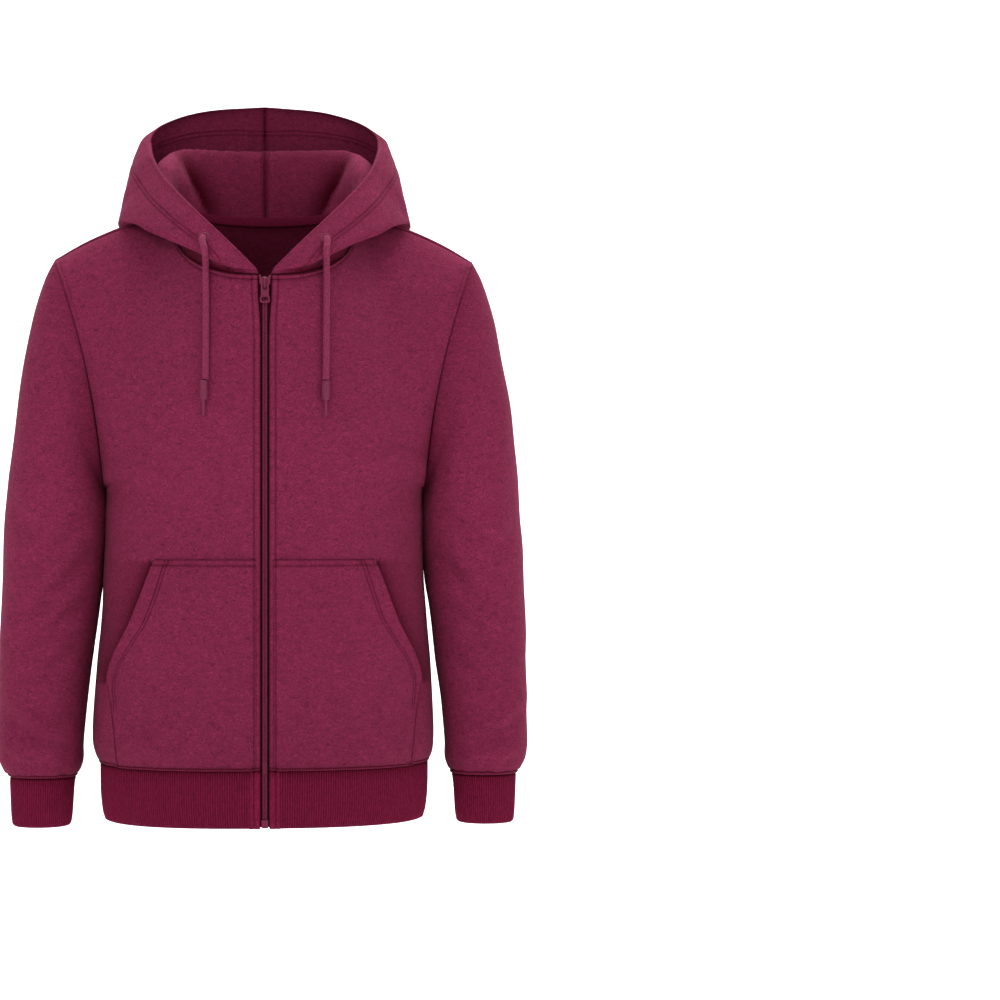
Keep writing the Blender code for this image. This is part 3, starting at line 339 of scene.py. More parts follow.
def fold(x, z, line, width, depth, ridge=0.45, lean=1.0):
    """A soft trough along a line in x and z, with a ridge on one side, dying away at its ends."""
    line = np.array(line, float)
    best = np.full(x.shape, 1e9)
    signed = np.zeros(x.shape)
    share = np.zeros(x.shape)
    run = runs(line)
    for k, (a, b) in enumerate(zip(line[:-1], line[1:])):
        d = b - a
        t = np.clip(((x - a[0]) * d[0] + (z - a[1]) * d[1]) / (d @ d), 0, 1)
        ox, oz = x - a[0] - t * d[0], z - a[1] - t * d[1]
        dist = np.hypot(ox, oz)
        near = dist < best
        best = np.where(near, dist, best)
        signed = np.where(near, np.sign(d[0] * oz - d[1] * ox) * dist, signed)
        share = np.where(near, (run[k] + t * (run[k + 1] - run[k])) / run[-1], share)
    fade = np.sin(np.pi * np.clip(share * 0.86 + 0.07, 0, 1)) ** 0.8
    trough = -np.exp(-((best / width) ** 2))
    bank = ridge * np.exp(-(((signed * lean - 1.7 * width) / (1.1 * width)) ** 2))
    return depth * fade * (trough + bank)


def ripple(p, seed, scale, amount):
    """Slow unevenness of hanging cloth: a few crossed waves, always the same."""
    rng = np.random.default_rng(seed)
    out = np.zeros(p.shape[:-1])
    for _ in range(7):
        way = rng.normal(size=3)
        way /= np.linalg.norm(way)
        long = scale * rng.uniform(0.6, 1.7)
        out += np.sin((p @ way) / long * 2 * np.pi + rng.uniform(0, 6.28)) * rng.uniform(0.4, 1)
    return out * amount / 3.0


# ---- meshes ----------------------------------------------------------------------------------
def faces_of(rows, cols, ring):
    i = np.arange(rows - 1)[:, None]
    j = np.arange(cols if ring else cols - 1)[None]
    k = (j + 1) % cols
    return np.stack([i * cols + j, i * cols + k, (i + 1) * cols + k, (i + 1) * cols + j],
                    axis=-1).reshape(-1, 4)


def mesh_object(name, points, faces, smooth=True):
    mesh = bpy.data.meshes.new(name)
    mesh.from_pydata((np.asarray(points, float) * MM).tolist(), [],
                     faces.tolist() if isinstance(faces, np.ndarray) else faces)
    mesh.update()
    if smooth:
        mesh.polygons.foreach_set("use_smooth", [True] * len(mesh.polygons))
    obj = bpy.data.objects.new(name, mesh)
    bpy.context.scene.collection.objects.link(obj)
    return obj


def cloth(name, grid, wall, ring=False, normals=None, painted_shade=None, inner_shade=None):
    """Both faces of a piece of cloth, with painted shade on each face, 0 plain to 1 darkest."""
    rows, cols = grid.shape[:2]
    count = rows * cols
    if normals is None:
        normals = normals_of(grid, ring)
    inside = grid - normals * wall
    points = np.concatenate([grid.reshape(-1, 3), inside.reshape(-1, 3)])
    outer = faces_of(rows, cols, ring)
    parts = [outer, outer[:, ::-1] + count]
    j = np.arange(cols if ring else cols - 1)
    k = (j + 1) % cols
    top = (rows - 1) * cols
    parts.append(np.stack([j, j + count, k + count, k], axis=1))
    parts.append(np.stack([top + j, top + k, top + k + count, top + j + count], axis=1))
    if not ring:
        i = np.arange(rows - 1)
        a, b = i * cols, (i + 1) * cols
        parts.append(np.stack([a, b, b + count, a + count], axis=1))
        a, b = a + cols - 1, b + cols - 1
        parts.append(np.stack([a, a + count, b + count, b], axis=1))
    made = mesh_object(name, points, np.concatenate(parts))
    outer_shade = np.zeros(count) if painted_shade is None else np.clip(painted_shade, 0, 1).ravel()
    # Unless given, the inner face gets painted shade, darker than the outer face, as shade inside the cloth.
    if inner_shade is None:
        inner_shade = outer_shade * 0.3 + 0.25
    values = np.concatenate([outer_shade, np.clip(np.ravel(inner_shade), 0, 1)])
    kept = made.data.attributes.new("painted_shade", "FLOAT", "POINT")
    kept.data.foreach_set("value", values.astype(np.float32))
    return made


# Painted shade along a line, such as the shadow in a seam's or stitch's crease.
def painted_shade_line(distance, at, width=0.9, depth=0.8):
    return depth * np.exp(-(((distance - at) / width) ** 2))


def respaced(grid, count, low=(), high=()):
    """Rows read again along each column: at set distances from its two ends, evenly between."""
    out = []
    reach = max([1e-6, *low, *high])
    for line in grid.transpose(1, 0, 2):
        run = runs(line)
        scale = min(1.0, 0.45 * run[-1] / reach)
        near, far = [0.0] + [d * scale for d in low], [0.0] + [d * scale for d in high]
        middle = np.linspace(near[-1], run[-1] - far[-1], count + 2)[1:-1]
        at = np.concatenate([near, middle, run[-1] - np.array(far[::-1])])
        out.append(np.column_stack([np.interp(at, run, line[:, k]) for k in range(3)]))
    return np.array(out).transpose(1, 0, 2)


def respaced_across(grid, count, first=(), last=()):
    return respaced(grid.transpose(1, 0, 2), count, first, last).transpose(1, 0, 2)


def facing_out(grid, about, ring=False, rows=2):
    """The grid with its columns turned round where its first rows would face inwards."""
    n = normals_of(grid, ring)[:rows]
    total = (n * (grid[:rows] - np.asarray(about, float))).sum()
    return grid if total > 0 else grid[:, ::-1]


def fade(distance, reach):
    t = np.clip(distance / reach, 0, 1)
    return t * t * (3 - 2 * t)


def line_at(grid, normals, edge, mm):
    """Points and normals that run along one edge, that many mm in from it."""
    if edge in ("low", "high"):
        lines, ways = grid.transpose(1, 0, 2), normals.transpose(1, 0, 2)
    else:
        lines, ways = grid, normals
    if edge in ("high", "last"):
        lines, ways = lines[:, ::-1], ways[:, ::-1]
    points, out = [], []
    for line, way in zip(lines, ways):
        run = runs(line)
        if run[-1] < mm + 1:
            continue
        points.append([np.interp(mm, run, line[:, k]) for k in range(3)])
        out.append([np.interp(mm, run, way[:, k]) for k in range(3)])
    return np.array(points), np.array(out)


def stitches(name, lines, pitch=3.0, length=2.3, radius=0.3, sink=0.05):
    """Short thread stitches laid end to end along lines of (points, normals)."""
    verts, faces = [], []
    sides = 5
    for points, out in lines:
        if len(points) < 2:
            continue
        run = runs(points)
        for k in range(int(run[-1] / pitch)):
            s = (k + 0.5) * pitch
            ends = np.array([[np.interp(s + h, run, points[:, c]) for c in range(3)]
                             for h in (-length / 2, length / 2)])
            way = np.array([np.interp(s, run, out[:, c]) for c in range(3)])
            way /= max(np.linalg.norm(way), 1e-9)
            along = ends[1] - ends[0]
            along /= max(np.linalg.norm(along), 1e-9)
            side = np.cross(along, way)
            start = len(verts)
            middle = ends.mean(0)
            for share, size, up in ((-0.5, 0.35, -0.6), (-0.22, 1.0, 0.1), (0.22, 1.0, 0.1),
                                    (0.5, 0.35, -0.6)):
                at = middle + along * length * share + way * (up * radius - sink)
                for m in range(sides):
                    turn = 2 * math.pi * m / sides
                    verts.append(at + (side * math.cos(turn) + way * math.sin(turn)) * radius * size)
            for ring in range(3):
                for m in range(sides):
                    n = (m + 1) % sides
                    a, b = start + ring * sides, start + (ring + 1) * sides
                    faces.append((a + m, a + n, b + n, b + m))
            faces.append(tuple(start + m for m in range(sides))[::-1])
            faces.append(tuple(start + 3 * sides + m for m in range(sides)))
    return mesh_object(name, verts, faces)


# ---- finishes --------------------------------------------------------------------------------
def node(tree, kind, **values):
    made = tree.nodes.new(kind)
    for key, value in values.items():
        if key in made.inputs:
            made.inputs[key].default_value = value
        else:
            setattr(made, key, value)
    return made


def finish_of(name, dark, light, stretch, rough=0.95, metal=0.0, sheen=0.0, bump=0.25, fuzz=1400.0,
              blotch=0.0, coat=0.0, shine=0.06, deep=None, swirl=0.8, curls=0.0):
    """A finish with streaks of two colours and a fine grain, drawn in the garment's own space."""
    material = bpy.data.materials.new(name)
    material.use_nodes = True
    tree = material.node_tree
    tree.nodes.clear()
    out = node(tree, "ShaderNodeOutputMaterial")
    shader = node(tree, "ShaderNodeBsdfPrincipled", **{"Roughness": rough, "Metallic": metal})
    shader.inputs["Sheen Weight"].default_value = sheen
    shader.inputs["Sheen Roughness"].default_value = 0.45
    shader.inputs["Sheen Tint"].default_value = (1.0, 0.55, 0.68, 1)
    shader.inputs["Coat Weight"].default_value = coat
    shader.inputs["Specular IOR Level"].default_value = shine
    tree.links.new(shader.outputs[0], out.inputs["Surface"])
    place = node(tree, "ShaderNodeTexCoord")
    mapping = node(tree, "ShaderNodeMapping")
    mapping.inputs["Scale"].default_value = stretch
    mapping.inputs["Rotation"].default_value = (0.0, 0.12, 0.0)
    tree.links.new(place.outputs["Object"], mapping.inputs["Vector"])
    streaks = node(tree, "ShaderNodeTexNoise", **{"Scale": 1.0, "Detail": 0.6 if curls else 3.0,
                                                  "Roughness": 0.6, "Distortion": swirl})
    tree.links.new(mapping.outputs[0], streaks.inputs["Vector"])
    height = streaks.outputs["Fac"]
    if curls:
        # The level lines of the noise are short curled hairs.
        turns = node(tree, "ShaderNodeMath", operation="MULTIPLY")
        turns.inputs[1].default_value = curls
        tree.links.new(height, turns.inputs[0])
        wave = node(tree, "ShaderNodeMath", operation="SINE")
        tree.links.new(turns.outputs[0], wave.inputs[0])
        half = node(tree, "ShaderNodeMath", operation="MULTIPLY_ADD")
        half.inputs[1].default_value = 0.19
        half.inputs[2].default_value = 0.32
        tree.links.new(wave.outputs[0], half.inputs[0])
        total = node(tree, "ShaderNodeMath", operation="MULTIPLY_ADD")
        total.inputs[1].default_value = 0.36
        tree.links.new(height, total.inputs[0])
        tree.links.new(half.outputs[0], total.inputs[2])
        height = total.outputs[0]
    ramp = node(tree, "ShaderNodeValToRGB")
    ramp.color_ramp.elements[0].position = 0.32
    ramp.color_ramp.elements[1].position = 0.68
    ramp.color_ramp.elements[0].color = (*dark, 1)
    ramp.color_ramp.elements[1].color = (*light, 1)
    tree.links.new(height, ramp.inputs["Fac"])
    colour = ramp.outputs["Color"]
    # Painted shade: the shade attribute mixes the colour toward deep, for shadow in creases, seams, hollows
    # and on inner faces.
    if deep is not None:
        kept = node(tree, "ShaderNodeAttribute", attribute_name="painted_shade")
        mixed = node(tree, "ShaderNodeMix", data_type="RGBA")
        tree.links.new(kept.outputs["Fac"], mixed.inputs["Factor"])
        tree.links.new(colour, mixed.inputs["A"])
        mixed.inputs["B"].default_value = (*deep, 1)
        colour = mixed.outputs["Result"]
    if blotch:
        broad = node(tree, "ShaderNodeTexNoise", **{"Scale": 11.0, "Detail": 2.0})
        tree.links.new(place.outputs["Object"], broad.inputs["Vector"])
        level = node(tree, "ShaderNodeMapRange", **{"To Min": 1 - blotch, "To Max": 1 + blotch})
        tree.links.new(broad.outputs["Fac"], level.inputs["Value"])
        scaled = node(tree, "ShaderNodeVectorMath", operation="SCALE")
        tree.links.new(colour, scaled.inputs[0])
        tree.links.new(level.outputs[0], scaled.inputs["Scale"])
        colour = scaled.outputs[0]
    tree.links.new(colour, shader.inputs["Base Color"])
    grain = node(tree, "ShaderNodeTexNoise", **{"Scale": fuzz, "Detail": 2.0})
    tree.links.new(place.outputs["Object"], grain.inputs["Vector"])
    both = node(tree, "ShaderNodeMath", operation="MULTIPLY_ADD")
    both.inputs[1].default_value = 0.8
    tree.links.new(height, both.inputs[0])
    tree.links.new(grain.outputs["Fac"], both.inputs[2])
    lift = node(tree, "ShaderNodeBump", **{"Strength": bump, "Distance": 0.0005})
    tree.links.new(both.outputs[0], lift.inputs["Height"])
    tree.links.new(lift.outputs[0], shader.inputs["Normal"])
    return material


def tone(colour, share):
    return tuple(c * share for c in colour)


FLEECE_COLOUR = (0.238, 0.0240, 0.072)
RIB_COLOUR = (0.204, 0.0112, 0.048)
# Colour of the painted shade that the shade attribute mixes into the cloth.
PAINTED_SHADE_COLOUR = (0.056, 0.0004, 0.007)
BRAID_COLOUR = (0.270, 0.036, 0.092)
METAL_COLOUR = (0.200, 0.0215, 0.062)
TAPE_COLOUR = (0.040, 0.0015, 0.009)
FINISHES = {
    "fleece": finish_of("fleece", tone(FLEECE_COLOUR, 0.68), tone(FLEECE_COLOUR, 1.32),
                        (130.0, 130.0, 230.0), sheen=0.05, bump=0.8, blotch=0.06, deep=PAINTED_SHADE_COLOUR, swirl=1.2,
                        curls=52.0),
    "rib": finish_of("rib", tone(RIB_COLOUR, 0.62), tone(RIB_COLOUR, 1.40), (620.0, 620.0, 260.0),
                     sheen=0.03, bump=0.3, blotch=0.05, deep=PAINTED_SHADE_COLOUR, swirl=1.2),
    "tape": finish_of("tape", tone(TAPE_COLOUR, 0.8), tone(TAPE_COLOUR, 1.15), (900.0, 900.0, 1600.0),
                      rough=0.8, bump=0.3),
    "zip_teeth": finish_of("zip_teeth", tone(FLEECE_COLOUR, 0.9), tone(FLEECE_COLOUR, 1.2),
                           (500.0, 500.0, 500.0), rough=0.45, bump=0.05, shine=0.3),
    "coloured_metal": finish_of("coloured_metal", tone(METAL_COLOUR, 0.85), tone(METAL_COLOUR, 1.1),
                                (300.0, 300.0, 300.0), rough=0.5, bump=0.03, shine=0.2),
    "braid": finish_of("braid", tone(BRAID_COLOUR, 0.62), tone(BRAID_COLOUR, 1.35),
                       (900.0, 900.0, 500.0), sheen=0.1, bump=0.25),
    "cord_end": finish_of("cord_end", tone(BRAID_COLOUR, 0.66), tone(BRAID_COLOUR, 0.86),
                          (400.0, 400.0, 250.0), rough=0.5, bump=0.05, shine=0.2),
    "thread": finish_of("thread", tone(FLEECE_COLOUR, 0.85), tone(FLEECE_COLOUR, 1.15),
                        (900.0, 900.0, 900.0), rough=0.7, bump=0.1),
    "inside_tape": finish_of("inside_tape", tone(RIB_COLOUR, 0.5), tone(RIB_COLOUR, 0.85),
                             (500.0, 500.0, 900.0), rough=0.9, bump=0.2),
}


def placed(piece, slot, finish=None, stands_for=(), body="garment"):
    piece.data.materials.clear()
    piece.data.materials.append(FINISHES[finish or slot])
    if stands_for:
        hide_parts(*stands_for)
    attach(piece, body)
    return piece


# ---- camera ----------------------------------------------------------------------------------
camera = bpy.data.objects.new("camera", bpy.data.cameras.new("camera"))
bpy.context.scene.collection.objects.link(camera)
bpy.context.scene.camera = camera
camera.location = (0.0, -3.3, -0.3084)
camera.rotation_euler = (math.radians(90.0), 0.0, -math.radians(4.685))
camera.data.sensor_width = 36.0
camera.data.lens = 103.3
camera.data.clip_end = 60.0

# ---- cords: from each eyelet over the hood's fold and straight down the chest ------------------
CORD_RADIUS = 3.7
CORD_ROUTE = [
    # x, y, z
    (67.83, -105.48, -15.98), (68.88, -110.08, -18.14), (68.34, -114.69, -23.89),
    (67.59, -118.88, -29.89), (67.52, -116.28, -36.00), (67.57, -110.00, -39.89),
    (67.60, -105.87, -45.55), (67.60, -107.20, -52.81), (67.60, -109.02, -59.97),
    (67.55, -110.43, -67.23), (67.44, -111.79, -74.49), (67.36, -113.22, -81.74),
    (67.28, -114.70, -88.99), (67.21, -116.21, -96.22), (67.17, -117.81, -103.44),
    (67.14, -119.47, -110.64), (67.11, -121.12, -117.85), (67.08, -122.69, -125.07),
    (67.04, -124.24, -132.30), (67.01, -125.73, -139.54), (67.00, -127.11, -146.80),
    (67.00, -128.36, -154.08), (67.00, -129.51, -161.39), (67.00, -130.61, -168.70),
    (67.00, -131.74, -176.00),
]
HANG = np.array([0.0, -0.09332, -0.99564])
EYE_AT, EYE_OUT = np.array([67.2, -102.973, -17.5]), np.array([0.21085, -0.83677, 0.50532])


def swept(name, line, radius_at, sides, ends=True):
    """A tube along a line; radius_at(length run, turn) gives its size."""
    line = np.asarray(line, float)
    run = runs(line)
    along = np.gradient(line, axis=0)
    along /= np.linalg.norm(along, axis=1)[:, None]
    side = np.cross(along[0], (0.3, 0.2, 0.93))
    points = []
    turn = np.linspace(0, 2 * math.pi, sides, endpoint=False)
    for p, a, s in zip(line, along, run):
        side = side - a * (side @ a)
        side /= np.linalg.norm(side)
        other = np.cross(a, side)
        r = np.broadcast_to(radius_at(s, turn), turn.shape)[:, None]
        points.append(p + (side * np.cos(turn)[:, None] + other * np.sin(turn)[:, None]) * r)
    faces = faces_of(len(line), sides, True).tolist()
    if ends:
        faces.append(list(range(sides))[::-1])
        faces.append([(len(line) - 1) * sides + k for k in range(sides)])
    return mesh_object(name, np.concatenate(points), faces)


def lathed(name, centre, axis, profile, sides=40, closed=False):
    """A shape turned about an axis; profile rows are (radius, along the axis)."""
    axis = np.asarray(axis, float) / np.linalg.norm(axis)
    side = np.cross(axis, (0.12, 0.3, 0.9))
    side /= np.linalg.norm(side)
    other = np.cross(axis, side)
    turn = np.linspace(0, 2 * math.pi, sides, endpoint=False)
    ring = side * np.cos(turn)[:, None] + other * np.sin(turn)[:, None]
    rows = [centre + axis * up + ring * radius for radius, up in profile]
    if closed:
        rows.append(rows[0])
    faces = faces_of(len(rows), sides, True).tolist()
    if not closed:
        faces.append(list(range(sides))[::-1])
        faces.append([(len(rows) - 1) * sides + k for k in range(sides)])
    return mesh_object(name, np.concatenate(rows), faces)


def braid(s, turn):
    """Strands crossing over and under one another round the cord."""
    a = np.cos(6 * turn + s * 2 * math.pi / 6.4)
    b = np.cos(6 * turn - s * 2 * math.pi / 6.4)
    return CORD_RADIUS * (0.955 + 0.045 * np.maximum(a, b))


def rounded_line(line, count):
    both = np.repeat(np.array(line, float)[:, None], 2, axis=1)
    return resampled(both, np.linspace(0, len(line) - 1, count), [0])[:, 0]


for side, word in ((1, "left"), (-1, "right")):
    turned = np.array([side, 1.0, 1.0])
    hold = 1.0 + 0.4 * side
    line = rounded_line(CORD_ROUTE, 240) * turned
    dip = np.interp(runs(line), (0, 5, 11, 22), (1.0, 3.2, 2.6, 0.0))
    line[:, 2] -= dip
    line[:, 1] -= 0.45 * dip
    sway = np.sin(np.linspace(0, math.pi, 240)) * 0.7 * hold
    line[:, 0] += sway * (1 if side > 0 else 1.4)
    if side < 0:
        line[:, 0] += 1.9 * fade(runs(line) - 6.0, 30.0)
    cord = placed(swept(f"{word}_cord", line, braid, 48), "braid", stands_for=[f"cord_{word}"])
    end = np.array(CORD_ROUTE[-1]) * turned
    barrel = [(0.5, 0.9), (3.3, 1.0), (4.1, 1.3), (4.45, 2.0), (4.5, 3.0), (4.25, 4.2), (4.2, 5.0),
              (4.45, 5.8), (4.5, 7.0), (4.5, 18.0), (4.45, 20.0), (4.1, 21.3), (3.2, 22.2),
              (2.1, 22.6), (1.7, 23.0), (1.65, 24.0), (1.65, 38.0), (1.5, 39.1), (0.9, 39.9),
              (0.2, 40.0)]
    aglet = placed(lathed(f"{word}_cord_end", end, HANG, barrel), "cord_end",
                   stands_for=[f"aglet_{word}"])
    ring = [(3.9, 0.35), (3.9, 0.9), (4.1, 1.45), (4.6, 1.85), (5.3, 1.95), (6.0, 1.6), (6.4, 1.0),
            (6.5, 0.35)]
    placed(lathed(f"{word}_eyelet", EYE_AT * turned, EYE_OUT * turned, ring, 48, closed=True),
           "coloured_metal", "cord_end", stands_for=[f"eyelet_{word}"])

# ---- fine grids of the cloth -----------------------------------------------------------------
UP = 8
front = half_body("front")
back_half = half_body("back")[:, ::-1]
back = np.concatenate([back_half, (back_half * FLIP)[:, ::-1][:, 1:]], axis=1)


def fine(grid, per_row=UP, per_col=UP, ring=False):
    rows, cols = grid.shape[:2]
    rows_at = np.linspace(0, rows - 1, (rows - 1) * per_row + 1)
    if ring:
        cols_at = np.linspace(0, cols, cols * per_col, endpoint=False)
    else:
        cols_at = np.linspace(0, cols - 1, (cols - 1) * per_col + 1)
    return resampled(grid, rows_at, cols_at, ring)


def waves(at, seed, lengths):
    """Uneven waves along an edge, from -1 to 1."""
    rng = np.random.default_rng(seed)
    out = np.zeros(np.shape(at))
    for length in lengths:
        out += np.sin(2 * np.pi * at / length + rng.uniform(0, 6.28)) * rng.uniform(0.5, 1.0)
    return out / len(lengths)


def in_pocket(x, z, margin=4.0):
    """1 under a pocket, 0 clear of it."""
    edge = through(POCKET_SIDE, np.clip(z, POCKET_LOW_Z, POCKET_TOP_Z).ravel())[:, 0].reshape(z.shape)
    inside = np.minimum(edge + margin - np.abs(x), POCKET_TOP_Z + margin - z)
    return fade(inside, 12.0)


# Soft folds over the front of the body: (points in x and z, half width, depth, ridge, lean)
FOLDS_FRONT = {
    "right": [
        ([(-62, -128), (-96, -150), (-140, -172)], 10, 1.8, 0.7, 1),
        ([(-198, -262), (-150, -250), (-104, -262)], 13, 3.0, 0.6, -1),
        ([(-190, -300), (-150, -296), (-112, -312), (-88, -336)], 12, 2.4, 0.6, 1),
        ([(-28, -215), (-58, -262), (-70, -322)], 16, 1.6, 0.5, 1),
        ([(-172, -352), (-130, -346), (-96, -356)], 12, 1.6, 0.5, 1),
        ([(-184, -420), (-172, -480), (-168, -520)], 9, 1.6, 0.6, -1),
    ],
    "left": [
        ([(58, -140), (92, -160), (132, -176)], 11, 1.5, 0.7, -1),
        ([(196, -256), (152, -240), (112, -246)], 12, 3.0, 0.6, 1),
        ([(190, -306), (152, -300), (118, -318), (96, -346)], 13, 2.4, 0.6, -1),
        ([(26, -200), (48, -262), (66, -330)], 15, 1.7, 0.5, -1),
        ([(176, -346), (140, -340), (104, -352)], 11, 1.4, 0.5, -1),
        ([(182, -430), (174, -480), (170, -530)], 9, 1.6, 0.6, 1),
    ],
}
FOLDS_BACK = [
    ([(-170, -210), (-120, -196), (-70, -206)], 16, 2.4, 0.6, 1),
    ([(172, -204), (118, -188), (64, -196)], 15, 2.2, 0.6, 1),
    ([(-178, -290), (-130, -286), (-84, -306)], 15, 2.6, 0.5, 1),
    ([(180, -296), (134, -288), (90, -300)], 14, 2.6, 0.5, 1),
    ([(-40, -330), (-10, -420), (-26, -520)], 20, 1.8, 0.5, 1),
    ([(60, -300), (44, -400), (66, -500)], 22, 1.8, 0.5, -1),
    ([(-150, -470), (-90, -500), (-30, -498)], 16, 1.8, 0.5, 1),
    ([(158, -520), (110, -548), (52, -540)], 15, 1.6, 0.5, 1),
]


def folded(grid, normals, folds, keep=1.0):
    lift = np.zeros(grid.shape[:2])
    for line, width, depth, ridge, lean in folds:
        lift += fold(grid[..., 0], grid[..., 2], line, width, depth, ridge, lean)
    return grid + normals * (lift * keep)[..., None]


def seam_relief(d, lines, rounds):
    """Stitch grooves and rounded edges: lines are (edge, mm, depth), rounds (edge, reach, depth)."""
    lift = 0.0
    for edge, mm, depth in lines:
        lift = lift + groove(d[edge], mm, 0.75, depth)
    for edge, reach, depth in rounds:
        lift = lift + edge_round(d[edge], reach, depth)
    return lift


def beside_mouth(x, z):
    """Distance outside a pocket's slanted mouth, far away elsewhere."""
    inside = (z < POCKET_TOP_Z - 2) & (z > -516)
    edge = through(POCKET_SIDE, np.clip(z, -512, POCKET_TOP_Z).ravel())[:, 0].reshape(z.shape)
    gap = (x - edge) * 0.93
    return np.where(inside & (gap > -6), np.abs(gap), 1e3)


CUT = (0.35, 0.9, 1.7, 2.7, 3.6, 4.2, 4.8, 5.6, 6.6)
FOLDED_EDGE = (0.3, 0.8, 1.5, 2.4, 3.6, 5.0, 6.1, 6.9, 7.7, 9.0)
DOUBLE = (0.35, 0.9, 1.7, 2.5, 3.2, 3.9, 4.8, 6.5)
PANELS = {}

for side, word in ((1, "left"), (-1, "right")):
    grid = respaced_across(fine(front), 74, FOLDED_EDGE, DOUBLE)
    grid = respaced(grid, 134, CUT, CUT) * np.array([side, 1.0, 1.0])
    grid = facing_out(grid, (0, 0, -600))
    zip_edge, other = ("first", "last") if abs(grid[0, 0, 0]) < abs(grid[0, -1, 0]) else ("last", "first")
    normals = normals_of(grid)
    d = from_edges(grid)
    x, z = grid[..., 0], grid[..., 2]
    rim = np.minimum.reduce([d["low"] / 26, d["high"] / 18, d[other] / 22, d[zip_edge] / 16])
    clear = fade(rim, 1.0) * (1 - in_pocket(np.abs(x), z))
    shaped = folded(grid, normals, FOLDS_FRONT[word], clear)
    lift = ripple(grid, 11 + side, 120.0, 1.5) * clear
    puff = waves(x, 31 + side, (23.0, 37.0, 61.0)) * np.exp(-d["low"] / 16) * fade(d["low"], 7.0)
    lift += puff * 0.9 * (1 - in_pocket(np.abs(x), z, -2.0))
    waver = waves(z, 5 + side, (34.0, 57.0, 90.0)) * np.exp(-d[zip_edge] / 14) * 0.45
    lift += waver * fade(d["low"], 12) + 0.55 * np.exp(-((d[zip_edge] - 3.4) / 2.4) ** 2)
    lift += 0.9 * np.exp(-((d["high"] - 2.6) / 1.7) ** 2) + 0.9 * np.exp(-((d["low"] - 2.2) / 1.4) ** 2)
    lift += seam_relief(d, [(zip_edge, 6.9, 0.95), ("high", 5.4, 1.0), ("low", 4.6, 1.0),
                            (other, 0.0, 0.3)],
                        [(zip_edge, 1.8, 1.2), ("high", 1.5, 0.9), ("low", 1.5, 1.0), (other, 1.2, 0.2)])
    shaped = shaped + normals * lift[..., None]
    away = beside_mouth(np.abs(x), z)
    # Painted shade: shadow in the seam and stitch creases, a painted shadow beside the pocket mouth, darker
    # by the hem and lower down.
    painted_shade = (painted_shade_line(d[zip_edge], 6.9, 0.8, 0.55) + painted_shade_line(d["high"], 5.4, 0.9, 0.7)
             + painted_shade_line(d["high"], 0.0, 1.2, 0.8) + painted_shade_line(d["low"], 4.6, 0.9, 0.7)
             + painted_shade_line(d["low"], 0.0, 1.2, 0.8) + painted_shade_line(d[other], 0.0, 1.4, 0.2)
             + painted_shade_line(d[other], 5.0, 0.8, 0.35) * fade(z + 130, 60)
             + painted_shade_line(d[zip_edge], 0.0, 1.0, 0.5) + 0.6 * np.exp(-away / 7.0) + 0.42 * np.exp(-away / 22.0)
             + 0.25 * np.exp(-d["low"] / 9.0) + 0.07 * fade(-z - 250.0, 250.0))
    # Painted shade along the side seam towards the armhole.
    side_painted_shade = np.exp(-d[other] / 13.0) * fade(-z - 130.0, 150.0) * fade(z + 480.0, 120.0)
    piece = placed(cloth(f"{word}_front", shaped, FLEECE, normals=normals, painted_shade=painted_shade + 0.4 * side_painted_shade),
                   "fleece", stands_for=[f"front_{word}"])
    ways = normals_of(shaped)
    sewn = placed(stitches(f"{word}_front_stitches",
                           [line_at(shaped, ways, zip_edge, 6.9), line_at(shaped, ways, "high", 5.4),
                            line_at(shaped, ways, "low", 4.6)]), "fleece", "thread")
    PANELS[f"front_{word}"] = shaped

grid = respaced_across(fine(back, UP, 7), 116, DOUBLE, DOUBLE)
grid = facing_out(respaced(grid, 134, CUT, CUT), (0, 0, -600))
normals, d = normals_of(grid), from_edges(grid)
rim = np.minimum.reduce([d["low"] / 26, d["high"] / 20, d["first"] / 22, d["last"] / 22])
clear = fade(rim, 1.0)
shaped = folded(grid, normals, FOLDS_BACK, clear)
lift = ripple(grid, 17, 130.0, 1.6) * clear
lift += waves(grid[..., 0], 41, (26.0, 41.0, 67.0)) * np.exp(-d["low"] / 18) * fade(d["low"], 7.0) * 1.2
lift += 0.5 * np.exp(-((d["high"] - 2.6) / 1.6) ** 2) + 0.9 * np.exp(-((d["low"] - 2.2) / 1.4) ** 2)
lift += seam_relief(d, [("high", 5.2, 0.6), ("low", 4.6, 1.0)],
                    [("high", 1.5, 0.9), ("low", 1.5, 1.0), ("first", 1.5, 0.5), ("last", 1.5, 0.5)])
shaped = shaped + normals * lift[..., None]
# Painted shade in the seam and stitch creases and by the hem; the inside is painted darker, more so higher
# up.
painted_shade = (painted_shade_line(d["high"], 5.2, 0.9, 0.5) + painted_shade_line(d["high"], 0.0, 1.2, 0.6)
         + painted_shade_line(d["low"], 4.6, 0.9, 0.7) + painted_shade_line(d["low"], 0.0, 1.2, 0.8)
         + painted_shade_line(d["first"], 0.0, 1.4, 0.6) + painted_shade_line(d["last"], 0.0, 1.4, 0.6)
         + 0.25 * np.exp(-d["low"] / 9.0))
painted_shade_higher = fade(grid[..., 2] + 150.0, 140.0)
piece = placed(cloth("back_panel", shaped, FLEECE, normals=normals, painted_shade=painted_shade,
                     inner_shade=0.3 + 0.3 * painted_shade_higher), "fleece", stands_for=["back"])
ways = normals_of(shaped)
sewn = placed(stitches("back_stitches", [line_at(shaped, ways, "high", 5.2),
                                         line_at(shaped, ways, "low", 4.6)]), "fleece", "thread")

